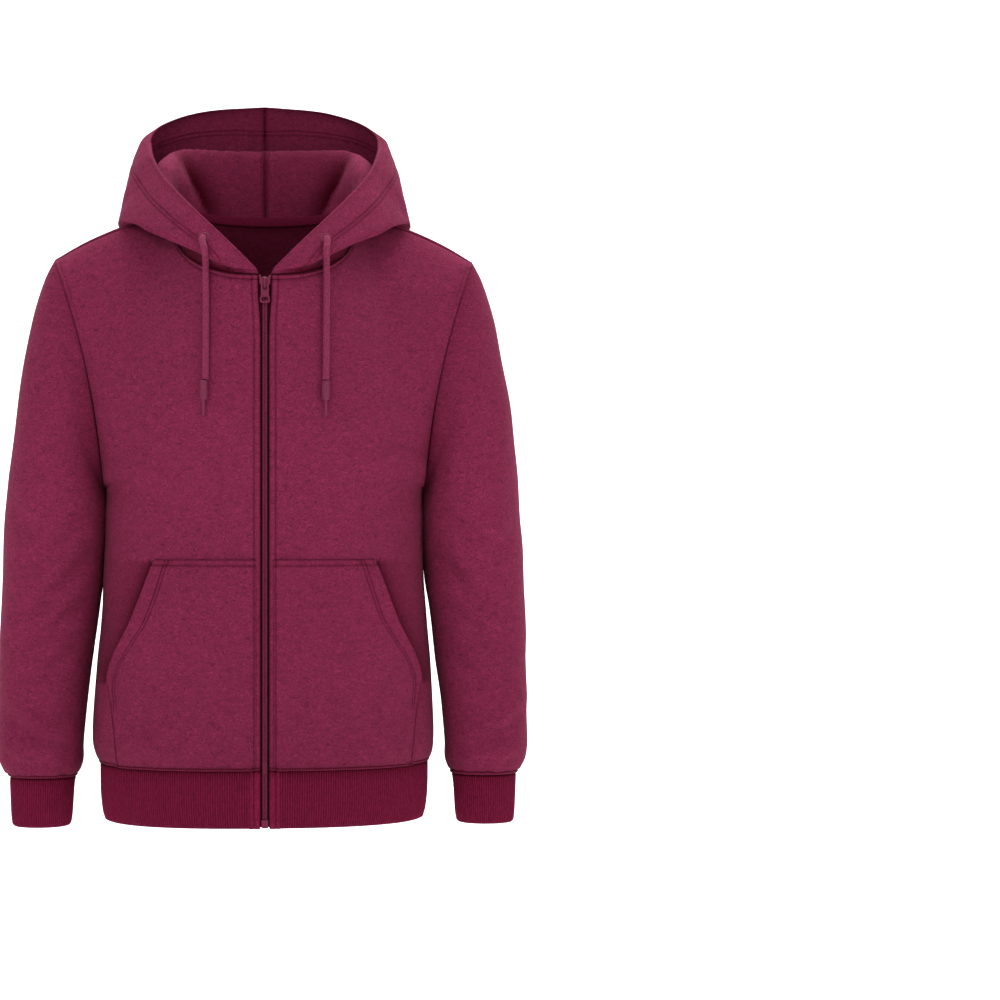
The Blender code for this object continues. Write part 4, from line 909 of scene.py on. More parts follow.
# Sleeves: folds on the front half and the back half, each in that half's own x and z.
FOLDS_SLEEVE = {
    ("right", "front"): [
        ([(-196, -330), (-226, -362), (-262, -380)], 10, 3.6, 0.7, -1),
        ([(-190, -362), (-220, -404), (-268, -436)], 10, 4.4, 0.7, -1),
        ([(-200, -420), (-232, -452), (-286, -470)], 9, 3.6, 0.7, -1),
        ([(-206, -470), (-240, -500), (-276, -508)], 9, 2.6, 0.6, -1),
        ([(-292, -300), (-262, -340), (-236, -352)], 12, 2.2, 0.6, 1),
        ([(-296, -540), (-262, -572), (-222, -580)], 8, 3.0, 0.7, 1),
        ([(-216, -548), (-240, -566), (-274, -574)], 8, 2.4, 0.6, -1),
        ([(-298, -590), (-268, -604), (-236, -602)], 6, 2.0, 0.6, 1),
        ([(-262, -120), (-250, -190), (-236, -250)], 16, 2.2, 0.6, 1),
    ],
    ("left", "front"): [
        ([(198, -322), (230, -350), (270, -362)], 10, 3.2, 0.7, 1),
        ([(192, -372), (224, -408), (262, -430)], 10, 4.2, 0.7, 1),
        ([(202, -428), (236, -456), (288, -478)], 10, 3.4, 0.7, 1),
        ([(208, -480), (238, -506), (270, -516)], 8, 2.4, 0.6, 1),
        ([(294, -330), (262, -366), (240, -372)], 11, 2.2, 0.6, -1),
        ([(298, -546), (266, -574), (226, -586)], 8, 3.0, 0.7, -1),
        ([(218, -556), (244, -572), (276, -578)], 7, 2.2, 0.6, 1),
        ([(298, -596), (270, -606), (240, -604)], 6, 2.0, 0.6, -1),
        ([(264, -130), (252, -200), (240, -262)], 15, 2.0, 0.6, -1),
    ],
    ("right", "back"): [
        ([(-194, -350), (-230, -388), (-276, -402)], 11, 3.2, 0.6, -1),
        ([(-198, -410), (-236, -446), (-284, -462)], 11, 3.2, 0.6, -1),
        ([(-210, -500), (-246, -528), (-290, -540)], 10, 2.4, 0.6, -1),
        ([(-296, -566), (-258, -590), (-224, -596)], 8, 2.4, 0.6, 1),
        ([(-268, -140), (-252, -210), (-230, -270)], 16, 2.2, 0.6, 1),
    ],
    ("left", "back"): [
        ([(196, -344), (236, -380), (280, -392)], 11, 3.2, 0.6, 1),
        ([(200, -418), (238, -450), (286, -470)], 11, 3.0, 0.6, 1),
        ([(212, -508), (250, -532), (292, -544)], 10, 2.4, 0.6, 1),
        ([(298, -572), (260, -592), (226, -600)], 8, 2.4, 0.6, -1),
        ([(266, -134), (254, -204), (234, -262)], 16, 2.2, 0.6, -1),
    ],
}
for side, word in ((1, "left"), (-1, "right")):
    grid = respaced(fine(sleeve_surface(), UP, 6, ring=True), 126, DOUBLE, CUT)
    grid = grid * np.array([side, 1.0, 1.0])
    # The last rings stand round the arm's own line, so they tell which way is out.
    centre = grid[-1].mean(0)
    if (normals_of(grid, True)[-1] * (grid[-1] - centre)).sum() < 0:
        grid = grid[:, ::-1]
    normals = normals_of(grid, True)
    d = from_edges(np.concatenate([grid, grid[:, :1]], axis=1))
    low, high = d["low"][:, :-1], d["high"][:, :-1]
    clear = fade(low, 30.0) * fade(high, 8.0)
    forward = np.clip(-normals[..., 1] * 1.6 + 0.1, 0, 1)
    rear = np.clip(normals[..., 1] * 1.6 + 0.1, 0, 1)
    shaped = folded(grid, normals, FOLDS_SLEEVE[word, "front"], 1.35 * clear * forward)
    shaped = folded(shaped, normals, FOLDS_SLEEVE[word, "back"], 1.35 * clear * rear)
    lift = ripple(grid, 23 + side, 110.0, 1.8) * clear
    # The sleeve rests against the side of the body below the armhole.
    lift += 7.5 * np.exp(-((grid[..., 2] + 326.0) / 44.0) ** 2) * np.clip(-side * normals[..., 0], 0, 1) ** 2
    turn = np.arctan2(grid[..., 1] + 15, grid[..., 0] - centre[0]) * 52
    gather = waves(turn, 51 + side, (2 * math.pi * 52 / 7, 2 * math.pi * 52 / 11, 2 * math.pi * 52 / 16))
    lift += gather * np.exp(-high / 20) * fade(high, 7.0) * 2.0
    lift += 0.9 * np.exp(-((high - 2.2) / 1.4) ** 2)
    lift += groove(high, 4.6, 0.85, 1.0) + edge_round(high, 1.5, 1.0) + edge_round(low, 2.2, 0.9)
    shaped = shaped + normals * lift[..., None]
    ways = normals_of(shaped, True)
    # Painted shade in the seam creases, darker lower down and beside the armhole's lower part.
    painted_shade = (painted_shade_line(high, 4.6, 0.9, 0.7) + painted_shade_line(high, 0.0, 1.2, 0.8) + painted_shade_line(low, 0.0, 1.6, 0.25)
             + 0.25 * np.exp(-high / 9.0) + 0.24 * np.exp(-low / 10.0))
    painted_shade = painted_shade + 0.12 * fade(-grid[..., 2] - 380.0, 200.0)
    painted_shade = painted_shade + 0.42 * np.exp(-low / 24.0) * fade(-grid[..., 2] - 120.0, 140.0)
    piece = placed(cloth(f"{word}_sleeve", shaped, FLEECE, True, normals, painted_shade), "fleece",
                   stands_for=[f"sleeve_{word}"])
    closed_grid = np.concatenate([shaped, shaped[:, :1]], axis=1)
    closed_ways = np.concatenate([ways, ways[:, :1]], axis=1)
    sewn = placed(stitches(f"{word}_sleeve_stitches", [line_at(closed_grid, closed_ways, "high", 4.6)]),
                  "fleece", "thread")


# ---- ribbed cuffs and hem band ---------------------------------------------------------------
RIB_PITCH, PER_RIB = 2.65, 6


def rib_relief(cols, d_low, d_high, along):
    """Knitted ribs, a rounded fold at the low edge and a dip at the seam."""
    ribs = 0.34 * np.cos(2 * np.pi * np.arange(cols) / PER_RIB)
    lift = ribs[None] * fade(d_low, 3.0) * fade(d_high, 2.0)
    lift = lift + edge_round(d_low, 3.4, 1.3) + edge_round(d_high, 2.2, 0.7)
    return lift + waves(along, 77, (60.0, 95.0, 140.0)) * 0.8 * fade(d_low, 8) * fade(d_high, 8)


def valleys(cols):
    """1 between two ribs, 0 on top of one."""
    return 0.5 - 0.5 * np.cos(2 * np.pi * np.arange(cols) / PER_RIB)[None]


for side, word in ((1, "left"), (-1, "right")):
    ribs = 92
    count = ribs * PER_RIB
    rings = cuff_surface(count)
    grid = resampled(rings, np.linspace(0, 3, 40), np.arange(count), ring=True)
    closed = np.concatenate([grid, grid[:, :1]], axis=1)
    closed = respaced_across(closed, count - 1)
    grid = respaced(closed, 9, (0.6, 1.6, 3.0), (0.6, 1.6, 3.0))[:, :-1] * np.array([side, 1.0, 1.0])
    grid = grid[::-1]
    centre = grid.reshape(-1, 3).mean(0)
    if (normals_of(grid, True) * (grid - centre)).sum() < 0:
        grid = grid[:, ::-1]
    normals = normals_of(grid, True)
    d = from_edges(np.concatenate([grid, grid[:, :1]], axis=1))
    low, high = d["low"][:, :-1], d["high"][:, :-1]
    lift = rib_relief(count, low, high, np.arange(count)[None] * 0.45 + 0 * low)
    shaped = grid + normals * lift[..., None]
    # Painted shade in the valleys between ribs and along the seam.
    painted_shade = 0.62 * valleys(count) + painted_shade_line(high, 0.0, 1.3, 0.8) + 0.30 * np.exp(-high / 7.0)
    piece = placed(cloth(f"{word}_cuff", shaped, RIB, True, normals, painted_shade), "rib",
                   stands_for=[f"cuff_{word}"])

band = []
for level in BAND_LEVELS:
    part = quarter(level, "front", NECK_FRONT_COLS + SHOULDER_COLS, ZIP_EDGE[0][1])
    rear = quarter(level, "back", NECK_BACK_COLS + SHOULDER_COLS, 0.0)
    half = np.concatenate([part, rear[::-1][1:]])
    band.append(np.concatenate([half, (half * FLIP)[::-1][1:]]))
band = fine(np.array(band), 16, 10)
count = int(runs(band[24])[-1] / RIB_PITCH) * PER_RIB
grid = respaced_across(band, count - 1)
grid = facing_out(respaced(grid, 7, (0.6, 1.6, 3.0), (0.6, 1.6, 3.0)), (0, 0, -640))
normals, d = normals_of(grid), from_edges(grid)
zip_side = np.minimum(d["first"], d["last"])
lift = rib_relief(grid.shape[1], d["low"], d["high"], d["first"])
plain = 1 - fade(zip_side - 11.0, 2.0)
lift = lift * (1 - plain * 0.6) + seam_relief({"z": zip_side}, [("z", 6.9, 0.6)], [("z", 2.0, 1.2)])
shaped = grid + normals * lift[..., None]
# Painted shade in the valleys between ribs, along the seam and along the zip-side stitching.
painted_shade = (0.62 * valleys(grid.shape[1]) * (1 - plain) + painted_shade_line(d["high"], 0.0, 1.3, 0.8)
         + 0.30 * np.exp(-d["high"] / 7.0) + painted_shade_line(zip_side, 6.9, 0.9, 0.6)
         + painted_shade_line(zip_side, 11.6, 0.8, 0.25) + painted_shade_line(zip_side, 0.0, 1.0, 0.5))
piece = placed(cloth("band", shaped, RIB, normals=normals, painted_shade=painted_shade), "rib",
               stands_for=["hem_band"])
sewn = placed(stitches("band_stitches", [line_at(shaped, normals, "first", 6.9),
                                         line_at(shaped, normals, "last", 6.9)]), "rib", "thread")

# ---- hood, lying open round the neck -----------------------------------------------------------
# Folds in the hood: share of the way from centre front to centre back, distance from the rim,
# then half width, depth.
HOOD_FOLDS = {
    "right": [(0.60, 60.0, 0.66, 140.0, 9.0, 2.6), (0.70, 40.0, 0.74, 120.0, 8.0, 2.0),
              (0.48, 30.0, 0.52, 90.0, 8.0, 1.8)],
    "left": [(0.58, 66.0, 0.65, 150.0, 9.0, 2.4), (0.72, 46.0, 0.75, 130.0, 8.0, 2.2),
             (0.46, 34.0, 0.51, 96.0, 8.0, 1.6)],
}
HEM = (0.35, 0.9, 1.8, 3.2, 8.0, 14.0, 20.0, 26.0, 27.2, 28.0, 28.8, 30.2, 31.6, 32.4, 33.2, 35.0)
for side, word in ((1, "left"), (-1, "right")):
    grid = fine(hood_surface(HOOD_ROWS), *HOOD_FINE)
    grid = respaced(grid, 84, DOUBLE, HEM) * np.array([side, 1.0, 1.0])
    grid = facing_out(grid, (0, 0, 20))
    back_edge = "last" if abs(grid[0, -1, 0]) < 1 and grid[0, -1, 1] > 0 else "first"
    normals, d = normals_of(grid), from_edges(grid)
    for _ in range(2):
        normals[1:-1, 1:-1] = (normals[1:-1, 1:-1] + normals[:-2, 1:-1] + normals[2:, 1:-1]
                               + normals[1:-1, :-2] + normals[1:-1, 2:])
        normals /= np.linalg.norm(normals, axis=-1)[..., None]
    k = -1 if back_edge == "last" else 0
    normals[:, k, 0] = 0
    normals[:, k] /= np.linalg.norm(normals[:, k], axis=-1)[:, None]
    share = np.linspace(0, 1, grid.shape[1])[None] + 0 * d["low"]
    if back_edge == "first":
        share = 1 - share
    long = d["low"] + d["high"]
    lift = np.zeros(grid.shape[:2])
    for s0, r0, s1, r1, width, depth in HOOD_FOLDS[word]:
        t = np.clip((d["high"] - r0) / (r1 - r0), 0, 1)
        away = (share - (s0 + (s1 - s0) * t)) * 420.0
        lift -= depth * np.exp(-(away / width) ** 2) * np.exp(-((t - 0.5) / 0.42) ** 2)
        lift += 0.6 * depth * np.exp(-((away - 1.8 * width) / width) ** 2) * np.exp(-((t - 0.5) / 0.4) ** 2)
    lift *= fade(d["high"], 30.0) * fade(d["low"], 30.0)
    lift += ripple(grid, 61 + side, 90.0, 1.3) * fade(d["low"], 20) * fade(d["high"], 20) * fade(long, 80)
    wave = waves(share * 440, 71 + side, (46.0, 74.0, 120.0)) * fade(long, 100)
    lift += wave * 1.0 * np.exp(-d["high"] / 40) * fade(share, 0.3)
    hem_in = fade(long, 60.0)
    lift += (0.7 * (1 - fade(d["high"] - 28.0, 4.0))) * hem_in
    lift += groove(d["high"], 28.0, 0.8, 0.8) * hem_in + groove(d["high"], 32.4, 0.8, 0.6) * hem_in
    lift += groove(d[back_edge], 3.2, 0.75, 0.6) + edge_round(d[back_edge], 1.3, 0.9)
    lift += edge_round(d["high"], 2.6, 1.1) + edge_round(d["low"], 1.5, 0.8)
    shaped = grid + normals * lift[..., None]
    # Inside the back of the neck the cloth turns a soft corner on its way out to the side.
    neck_leg = 1 - fade(d["low"] - 62.0, 26.0)
    corner = fold(side * grid[..., 0], grid[..., 2], [(60, 10), (76, 44), (100, 92)], 5.0, 1.0, 0.0)
    bulge = fold(side * grid[..., 0], grid[..., 2], [(74, 14), (92, 46), (113, 88)], 9.0, 1.0, 0.0)
    rear = fade(grid[..., 1] + 4.0, 14.0) * neck_leg
    shaped_lift = (-2.6 * corner + 3.2 * bulge) * rear
    shaped = shaped + normals * shaped_lift[..., None]
    # In front, the fold stands out over a shaded hollow above the neck seam.
    turn_at = np.interp(share, (0.0, 0.12, 0.24, 0.36, 0.47, 0.6), (5.0, 16.0, 27.0, 46.0, 75.0, 120.0))
    ahead = fade(0.50 - share, 0.12) * fade(share, 0.10)
    hollow = np.exp(-((d["low"] - 0.5 * turn_at) / (0.34 * turn_at)) ** 2) * ahead
    roll_out = np.exp(-((d["low"] - 1.15 * turn_at) / 8.0) ** 2) * ahead
    # Past the rim the outer face stands a little wider than the rim itself.
    wider = fade(d["high"], 9.0) * (1 - fade(d["high"] - 34.0, 46.0)) * fade(share - 0.42, 0.16)
    wider = wider * (1 - fade(share - 0.93, 0.07))
    shaped = shaped + normals * (2.6 * roll_out - 1.6 * hollow + 1.5 * wider)[..., None]
    shaped[..., 0] += side * 6.5 * wider * (1 - fade(share - 0.86, 0.12))
    shaped[..., 2] += 2.4 * wider * fade(share - 0.72, 0.1)
    ways = normals_of(shaped)
    shaped[:, k, 0] = -side * 0.35
    # Painted shade in the stitch and seam creases, near the neck seam, and a painted shadow under the front
    # fold.
    lines = (painted_shade_line(d["high"], 28.0, 0.9, 0.6) + painted_shade_line(d["high"], 32.4, 0.9, 0.45)) * hem_in
    lines = lines + painted_shade_line(d["high"], 2.6, 0.9, 0.35)
    seam = painted_shade_line(d[back_edge], 0.0, 0.8, 0.5) + painted_shade_line(d[back_edge], 3.2, 0.8, 0.4)
    under = (1 - fade(d["low"] - 0.78 * turn_at, 5.0)) * ahead
    painted_shade = (lines + seam + painted_shade_line(d["low"], 0.0, 1.4, 0.8) + 0.3 * np.exp(-d["low"] / 6.0)
             + 0.62 * under)
    # On the inner face: painted shadow beside the inside corner and near the rim, painted light on the side
    # roll and on the bulge.
    corner_x = np.interp(grid[..., 2], (10, 44, 92), (60, 76, 100))
    within_corner = np.where(side * grid[..., 0] < corner_x, 1.0, 0.0)
    near_corner = np.clip(-corner, 0, 1)
    soft = fold(side * grid[..., 0], grid[..., 2], [(56, 6), (72, 42), (97, 92)], 16.0, 1.0, 0.0)
    roll_side = fade(side * grid[..., 0] - np.interp(grid[..., 2], (10, 44, 92), (63, 79, 103)), 3.0)
    inner_shade = (0.26 - 0.16 * roll_side * rear + 0.7 * lines + seam
                   + 0.62 * np.clip(-soft, 0, 1) * rear * within_corner
                   + 0.10 * (1 - fade(d["high"] - 30, 26)) * fade(share, 0.5)
                   + 0.15 * near_corner * rear)
    inner_shade = inner_shade - 0.20 * rear * np.clip(-bulge, 0, 1)
    piece = placed(cloth(f"{word}_hood", shaped, FLEECE, normals=normals, painted_shade=painted_shade,
                         inner_shade=inner_shade), "fleece", stands_for=[f"hood_{word}"])
    outside = [line_at(shaped, ways, "high", 28.0), line_at(shaped, ways, "high", 32.4),
               line_at(shaped, ways, back_edge, 3.2)]
    within = [(p - n * (FLEECE + 0.05), -n) for p, n in outside]
    sewn = placed(stitches(f"{word}_hood_stitches", outside + within), "fleece", "thread")
    PANELS[f"hood_{word}"] = shaped

# A band over the neck seam inside the back of the neck.
neck_line = evenly(NECK_BACK, 30)[4:]
neck_line = np.concatenate([neck_line, (neck_line * FLIP)[::-1][1:]])
inward = -neck_line.copy()
inward[:, 1] *= 1.25
inward[:, 2] = 0
inward /= np.linalg.norm(inward, axis=1)[:, None]
rows = []
for lift, bulge in ((-2.8, 0.0), (-2.3, 0.6), (-0.8, 0.9), (2.2, 1.1), (5.2, 0.9), (6.9, 0.6), (7.6, 0.0)):
    rows.append(neck_line + inward * (FLEECE + 2.0 + bulge) + np.array([0, 0, lift]))
grid = np.array(rows)
normals = np.repeat(inward[None], len(rows), axis=0)
if (normals_of(grid) * normals).sum() < 0:
    grid, normals = grid[:, ::-1], normals[:, ::-1]
piece = placed(cloth("neck_band", grid, 1.0, normals=normals), "tape", "inside_tape",
               stands_for=["neck_tape"])


# ---- pockets ----------------------------------------------------------------------------------
def front_point(x, z):
    """A point of the left front's outer face, and the way out from it, below the underarm."""
    level, above, below = through(BODY_LEVELS, [z, z + 2, z - 2])

    def depth(x, half, front, square):
        share = min(max(x / half, 0.0), 0.999)
        return -front * (1 - share ** square) ** (1 / square) + 2.0 * (share ** (square / 2)) ** 4

    half, front, _, square = level
    y = depth(x, half, front, square)
    slope_x = (depth(x + 1, half, front, square) - depth(x - 1, half, front, square)) / 2
    slope_z = (depth(x, above[0], above[1], above[3]) - depth(x, below[0], below[1], below[3])) / 4
    out = np.array([slope_x, -1.0, slope_z])
    return np.array([x, y, z]), out / np.linalg.norm(out)


POCKET_FOLDS = {
    "left": [([(70, -404), (84, -480), (72, -560)], 20, 1.6, 0.6, 1),
             ([(150, -548), (118, -566), (84, -572)], 10, 1.6, 0.6, 1),
             ([(146, -470), (120, -500), (112, -540)], 12, 1.4, 0.5, -1)],
    "right": [([(-64, -410), (-80, -490), (-70, -566)], 19, 1.8, 0.6, -1),
              ([(-152, -552), (-116, -568), (-80, -576)], 10, 1.5, 0.6, -1),
              ([(-148, -474), (-122, -506), (-116, -546)], 12, 1.3, 0.5, 1)],
}
# How far in from the slanted mouth its first row of stitches runs, by height.
MOUTH_STITCH = (-546.0, -512.0, -440.0, -400.0, -374.0), (9.0, 15.5, 20.5, 18.0, 15.0)
levels = np.linspace(POCKET_LOW_Z, POCKET_TOP_Z, 62)
shares = np.linspace(0, 1, 54)
sides = through(POCKET_SIDE, levels)[:, 0]
base, way = [], []
for z, edge in zip(levels, sides):
    up = (z - POCKET_LOW_Z) / (POCKET_TOP_Z - POCKET_LOW_Z)
    low = (-512.0 - POCKET_LOW_Z) / (POCKET_TOP_Z - POCKET_LOW_Z)
    mouth = math.sin(math.pi * min(max((up - low * 0.75) / (1 - low * 0.75), 0), 1))
    for s in shares:
        point, normal = front_point(POCKET_INNER_X + (edge - POCKET_INNER_X) * s, z)
        swell = math.sin(math.pi * s) * math.sin(math.pi * up) * 0.45
        forward = normal * (0, 1, 1) / np.linalg.norm(normal * (0, 1, 1))
        base.append(point + normal * (POCKET_REST + POCKET_WALL)
                    + forward * POCKET_SWELL * max(mouth * s ** 1.3, swell))
base = np.array(base).reshape(len(levels), len(shares), 3)
for side, word in ((1, "left"), (-1, "right")):
    grid = respaced_across(base, 56, (0.3, 0.8, 1.6, 2.6, 3.4, 4.2),
                           (0.3, 0.8, 1.6, 2.6, 3.4, 4.2, 7.0) + tuple(np.arange(9.0, 26.5, 0.7)))
    grid = respaced(grid, 74, (0.3, 0.8, 1.6, 2.6, 3.4, 4.1, 4.8, 5.6),
                    (0.3, 0.8, 1.6, 2.6, 4.4, 6.3, 7.0, 7.7, 9.2))
    grid = facing_out(grid * np.array([side, 1.0, 1.0]), (0, 0, -500))
    inner_edge, outer_edge = (("first", "last") if abs(grid[0, 0, 0]) < abs(grid[0, -1, 0])
                              else ("last", "first"))
    normals, d = normals_of(grid), from_edges(grid)
    x, z = grid[..., 0], grid[..., 2]
    mouth, sewn_mouth = fade(z + 520.0, 14.0), fade(z + 546.0, 10.0)
    past = d[outer_edge] - np.interp(z, *MOUTH_STITCH)
    clear = fade(np.minimum.reduce([d["low"], d["high"], d[inner_edge], d[outer_edge] + 10 * mouth]), 22)
    shaped = folded(grid, normals, POCKET_FOLDS[word], clear)
    lift = ripple(grid, 83 + side, 90.0, 1.5) * clear
    lift += groove(d["high"], 7.0, 0.8, 0.7) + groove(d[inner_edge], 3.4, 0.7, 0.3)
    lift += (groove(past, 0.0, 0.8, 1.0) + groove(past, 4.2, 0.8, 0.9)) * sewn_mouth
    lift += 0.9 * np.exp(-((d["low"] - 2.2) / 1.4) ** 2) + groove(d["low"], 4.4, 0.8, 0.9)
    lift += groove(d[outer_edge], 4.2, 0.8, 0.7) * (1 - mouth)
    lift += edge_round(d["high"], 3.0, 1.5) + edge_round(d[inner_edge], 5.0, 2.5)
    lift += edge_round(d["low"], 2.5, 1.2)
    lift += edge_round(d[outer_edge], 2.4, 0.9) * mouth + edge_round(d[outer_edge], 3.2, 2.0) * (1 - mouth)
    shaped = shaped + normals * lift[..., None]
    ways = normals_of(shaped)
    # Painted shade in the stitch and edge creases, a little darker overall and more so lower down.
    painted_shade = (painted_shade_line(d["high"], 7.0, 0.9, 0.6) + painted_shade_line(d["high"], 0.0, 0.9, 0.6)
             + (painted_shade_line(past, 0.0, 0.9, 0.7) + painted_shade_line(past, 4.2, 0.9, 0.6)) * sewn_mouth
             + painted_shade_line(d[outer_edge], 4.2, 0.9, 0.6) * (1 - mouth)
             + painted_shade_line(d[outer_edge], 0.0, 0.8, 0.5) + painted_shade_line(d[inner_edge], 2.4, 0.9, 0.55)
             + 0.22 * np.exp(-d["low"] / 9.0) + painted_shade_line(d["low"], 4.4, 0.9, 0.7)
             + 0.06 + 0.10 * fade(-z - 480.0, 110.0))
    piece = placed(cloth(f"{word}_pocket", shaped, POCKET_WALL, normals=normals, painted_shade=painted_shade), "fleece",
                   stands_for=[f"pocket_{word}"])

    def mouth_line(further):
        rows = [k for k in range(len(shaped)) if z[k, 0] > -542.0]
        line, out = [], []
        for k in rows:
            order = slice(None) if past[k, 0] < past[k, -1] else slice(None, None, -1)
            gap = past[k, order] - further
            line.append([np.interp(0.0, gap, shaped[k, order, n]) for n in range(3)])
            out.append([np.interp(0.0, gap, ways[k, order, n]) for n in range(3)])
        return np.array(line), np.array(out)

    def part_of(edge, mm, keep):
        points, out = line_at(shaped, ways, edge, mm)
        chosen = keep(points)
        return points[chosen], out[chosen]

    sewn = placed(stitches(f"{word}_pocket_stitches", [
        line_at(shaped, ways, "high", 7.0),
        mouth_line(0.0), mouth_line(4.2),
        part_of(outer_edge, 4.2, lambda p: p[:, 2] < -518),
    ]), "fleece", "thread")


# ---- zip --------------------------------------------------------------------------------------
def centre_y(z):
    """Depth of the centre front line at a height."""
    rows = [(row[0], -row[2]) for row in BAND_LEVELS[:-1] + BODY_LEVELS]
    upper = np.linspace(UNDERARM_Z, CENTRE_FRONT[-1][0], ARM_ROWS + 1)[1:]
    rows += list(zip(upper, through(CENTRE_FRONT, upper)[:, 0]))
    level, depth = np.array(rows).T
    return np.interp(np.atleast_1d(np.asarray(z, float)), level, depth)


BEHIND = FLEECE + 0.9
for word in ("left", "right"):
    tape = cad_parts[f"zip_tape_{word}"]
    tape.data.materials.clear()
    tape.data.materials.append(FINISHES["tape"])
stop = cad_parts["zip_stop"]
stop.data.materials.clear()
stop.data.materials.append(FINISHES["coloured_metal"])

TOOTH_PITCH = 1.5
tooth_turns, tooth_rings = 8, (-0.78, -0.3, 0.3, 0.78)
verts, faces = [], []
for side in (1, -1):
    low = -659.5 + (TOOTH_PITCH / 2 if side < 0 else 0.0)
    for z in np.arange(low, -77.0, TOOTH_PITCH):
        y = float(centre_y(z)[0]) + BEHIND - 0.9
        slope = float((centre_y(z + 1) - centre_y(z - 1))[0]) / 2
        up = np.array([0.0, slope, 1.0]) / math.hypot(1.0, slope)
        out = np.array([0.0, -1.0, slope]) / math.hypot(1.0, slope)
        middle = np.array([side * 1.5, y, z])
        start = len(verts)
        for along in tooth_rings:
            size = math.sqrt(1 - along * along)
            for k in range(tooth_turns):
                turn = 2 * math.pi * k / tooth_turns
                verts.append(middle + np.array([along * 1.5, 0, 0])
                             + (up * math.cos(turn) * 0.66 + out * math.sin(turn) * 0.95) * size)
        for ring in range(len(tooth_rings) - 1):
            for k in range(tooth_turns):
                n = (k + 1) % tooth_turns
                a, b = start + ring * tooth_turns, start + (ring + 1) * tooth_turns
                faces.append((a + k, a + n, b + n, b + k))
        faces.append(tuple(start + k for k in range(tooth_turns))[::-1])
        faces.append(tuple(start + 3 * tooth_turns + k for k in range(tooth_turns)))
heights = np.arange(-670.0, -62.0, 6.0)
core = np.array([[(x, float(centre_y(z)[0]) + BEHIND + 0.1, z) for x in (-2.4, 2.4)] for z in heights])
start = len(verts)
verts.extend(core.reshape(-1, 3))
faces.extend((faces_of(len(heights), 2, False) + start).tolist())
placed(mesh_object("zip_teeth", verts, faces), "zip_teeth", stands_for=["zip_chain"])

# The slider's own axes: x across, u out of the chest, w up the chest.
SLIDE_Y, SLIDE_Z, LEAN = -116.9535, -68.5, 0.19787


def leaned(x, u, w):
    return np.array([x, SLIDE_Y - u * math.cos(LEAN) + w * math.sin(LEAN),
                     SLIDE_Z + u * math.sin(LEAN) + w * math.cos(LEAN)])


def smooth_outline(outline, per=6):
    count = len(outline)
    at = np.linspace(0, count, count * per, endpoint=False)
    grid = np.array([[(x, w, 0.0) for x, w in outline]])
    return resampled(np.concatenate([grid, grid]), [0], at, ring=True)[0][:, :2]


def rounded_plate(name, outline, u0, u1, soft, dome=0.0):
    """A plate between two depths with rounded edges all round."""
    line = smooth_outline(outline)
    middle = line.mean(0)
    back = line - np.roll(line, 1, 0)
    ahead = np.roll(line, -1, 0) - line
    way = back / np.linalg.norm(back, axis=1)[:, None] + ahead / np.linalg.norm(ahead, axis=1)[:, None]
    way /= np.linalg.norm(way, axis=1)[:, None]
    inward = np.column_stack([-way[:, 1], way[:, 0]])
    if ((middle - line) * inward).sum() < 0:
        inward = -inward
    rows = []
    for inset, u in ((soft * 1.0, u0), (soft * 0.3, u0 + soft * 0.3), (0.0, u0 + soft),
                     (0.0, u1 - soft), (soft * 0.3, u1 - soft * 0.3), (soft, u1)):
        rows.append([leaned(x, u, w) for x, w in line + inward * inset])
    for share in (0.7, 0.4, 0.1):
        ring = middle + (line + inward * soft - middle) * share
        rows.append([leaned(x, u1 + dome * (1 - share * share), w) for x, w in ring])
    rows = np.array(rows)
    count = len(line)
    faces = faces_of(len(rows), count, True).tolist()
    faces.append(list(range(count))[::-1])
    faces.append([(len(rows) - 1) * count + k for k in range(count)])
    return np.concatenate(rows), faces


def joined(name, parts):
    verts, faces = [], []
    for points, polys in parts:
        start = len(verts)
        verts.extend(points)
        faces.extend([[v + start for v in poly] for poly in polys])
    return mesh_object(name, verts, faces)


def mesh_parts(obj):
    points = np.array([v.co for v in obj.data.vertices]) / MM
    polys = [list(p.vertices) for p in obj.data.polygons]
    bpy.data.objects.remove(obj)
    return points, polys


outline = [(-3.9, -7.0), (0.0, -7.1), (3.9, -7.0), (4.5, -5.0), (4.7, -2.0), (5.4, 0.4),
           (5.9, 2.4), (5.5, 4.4), (4.0, 6.1), (1.8, 6.9), (-1.8, 6.9), (-4.0, 6.1), (-5.5, 4.4), (-5.9, 2.4),
           (-5.4, 0.4), (-4.7, -2.0), (-4.5, -5.0)]
arch = [(1.1, -5.4), (3.6, -5.5), (4.45, -4.9), (4.6, -4.0), (4.6, -1.0), (4.5, 1.0), (3.9, 3.2),
        (2.9, 4.9), (1.1, 6.0)]
bridge = swept("bridge", [leaned(0, u, w) for u, w in
                          rounded_line([(u, w, 0) for u, w in arch], 40)[:, :2]],
               lambda s, turn: 1.02 + 0 * turn, 16)
slider = joined("slider", [rounded_plate("plate", outline, -1.9, 1.3, 0.7, 0.15), mesh_parts(bridge)])
placed(slider, "coloured_metal", stands_for=["zip_slider"])

# The pull: an outline with two holes through it, and a raised rim round the lower one.
AXIS_U, AXIS_W = 2.45, -3.55


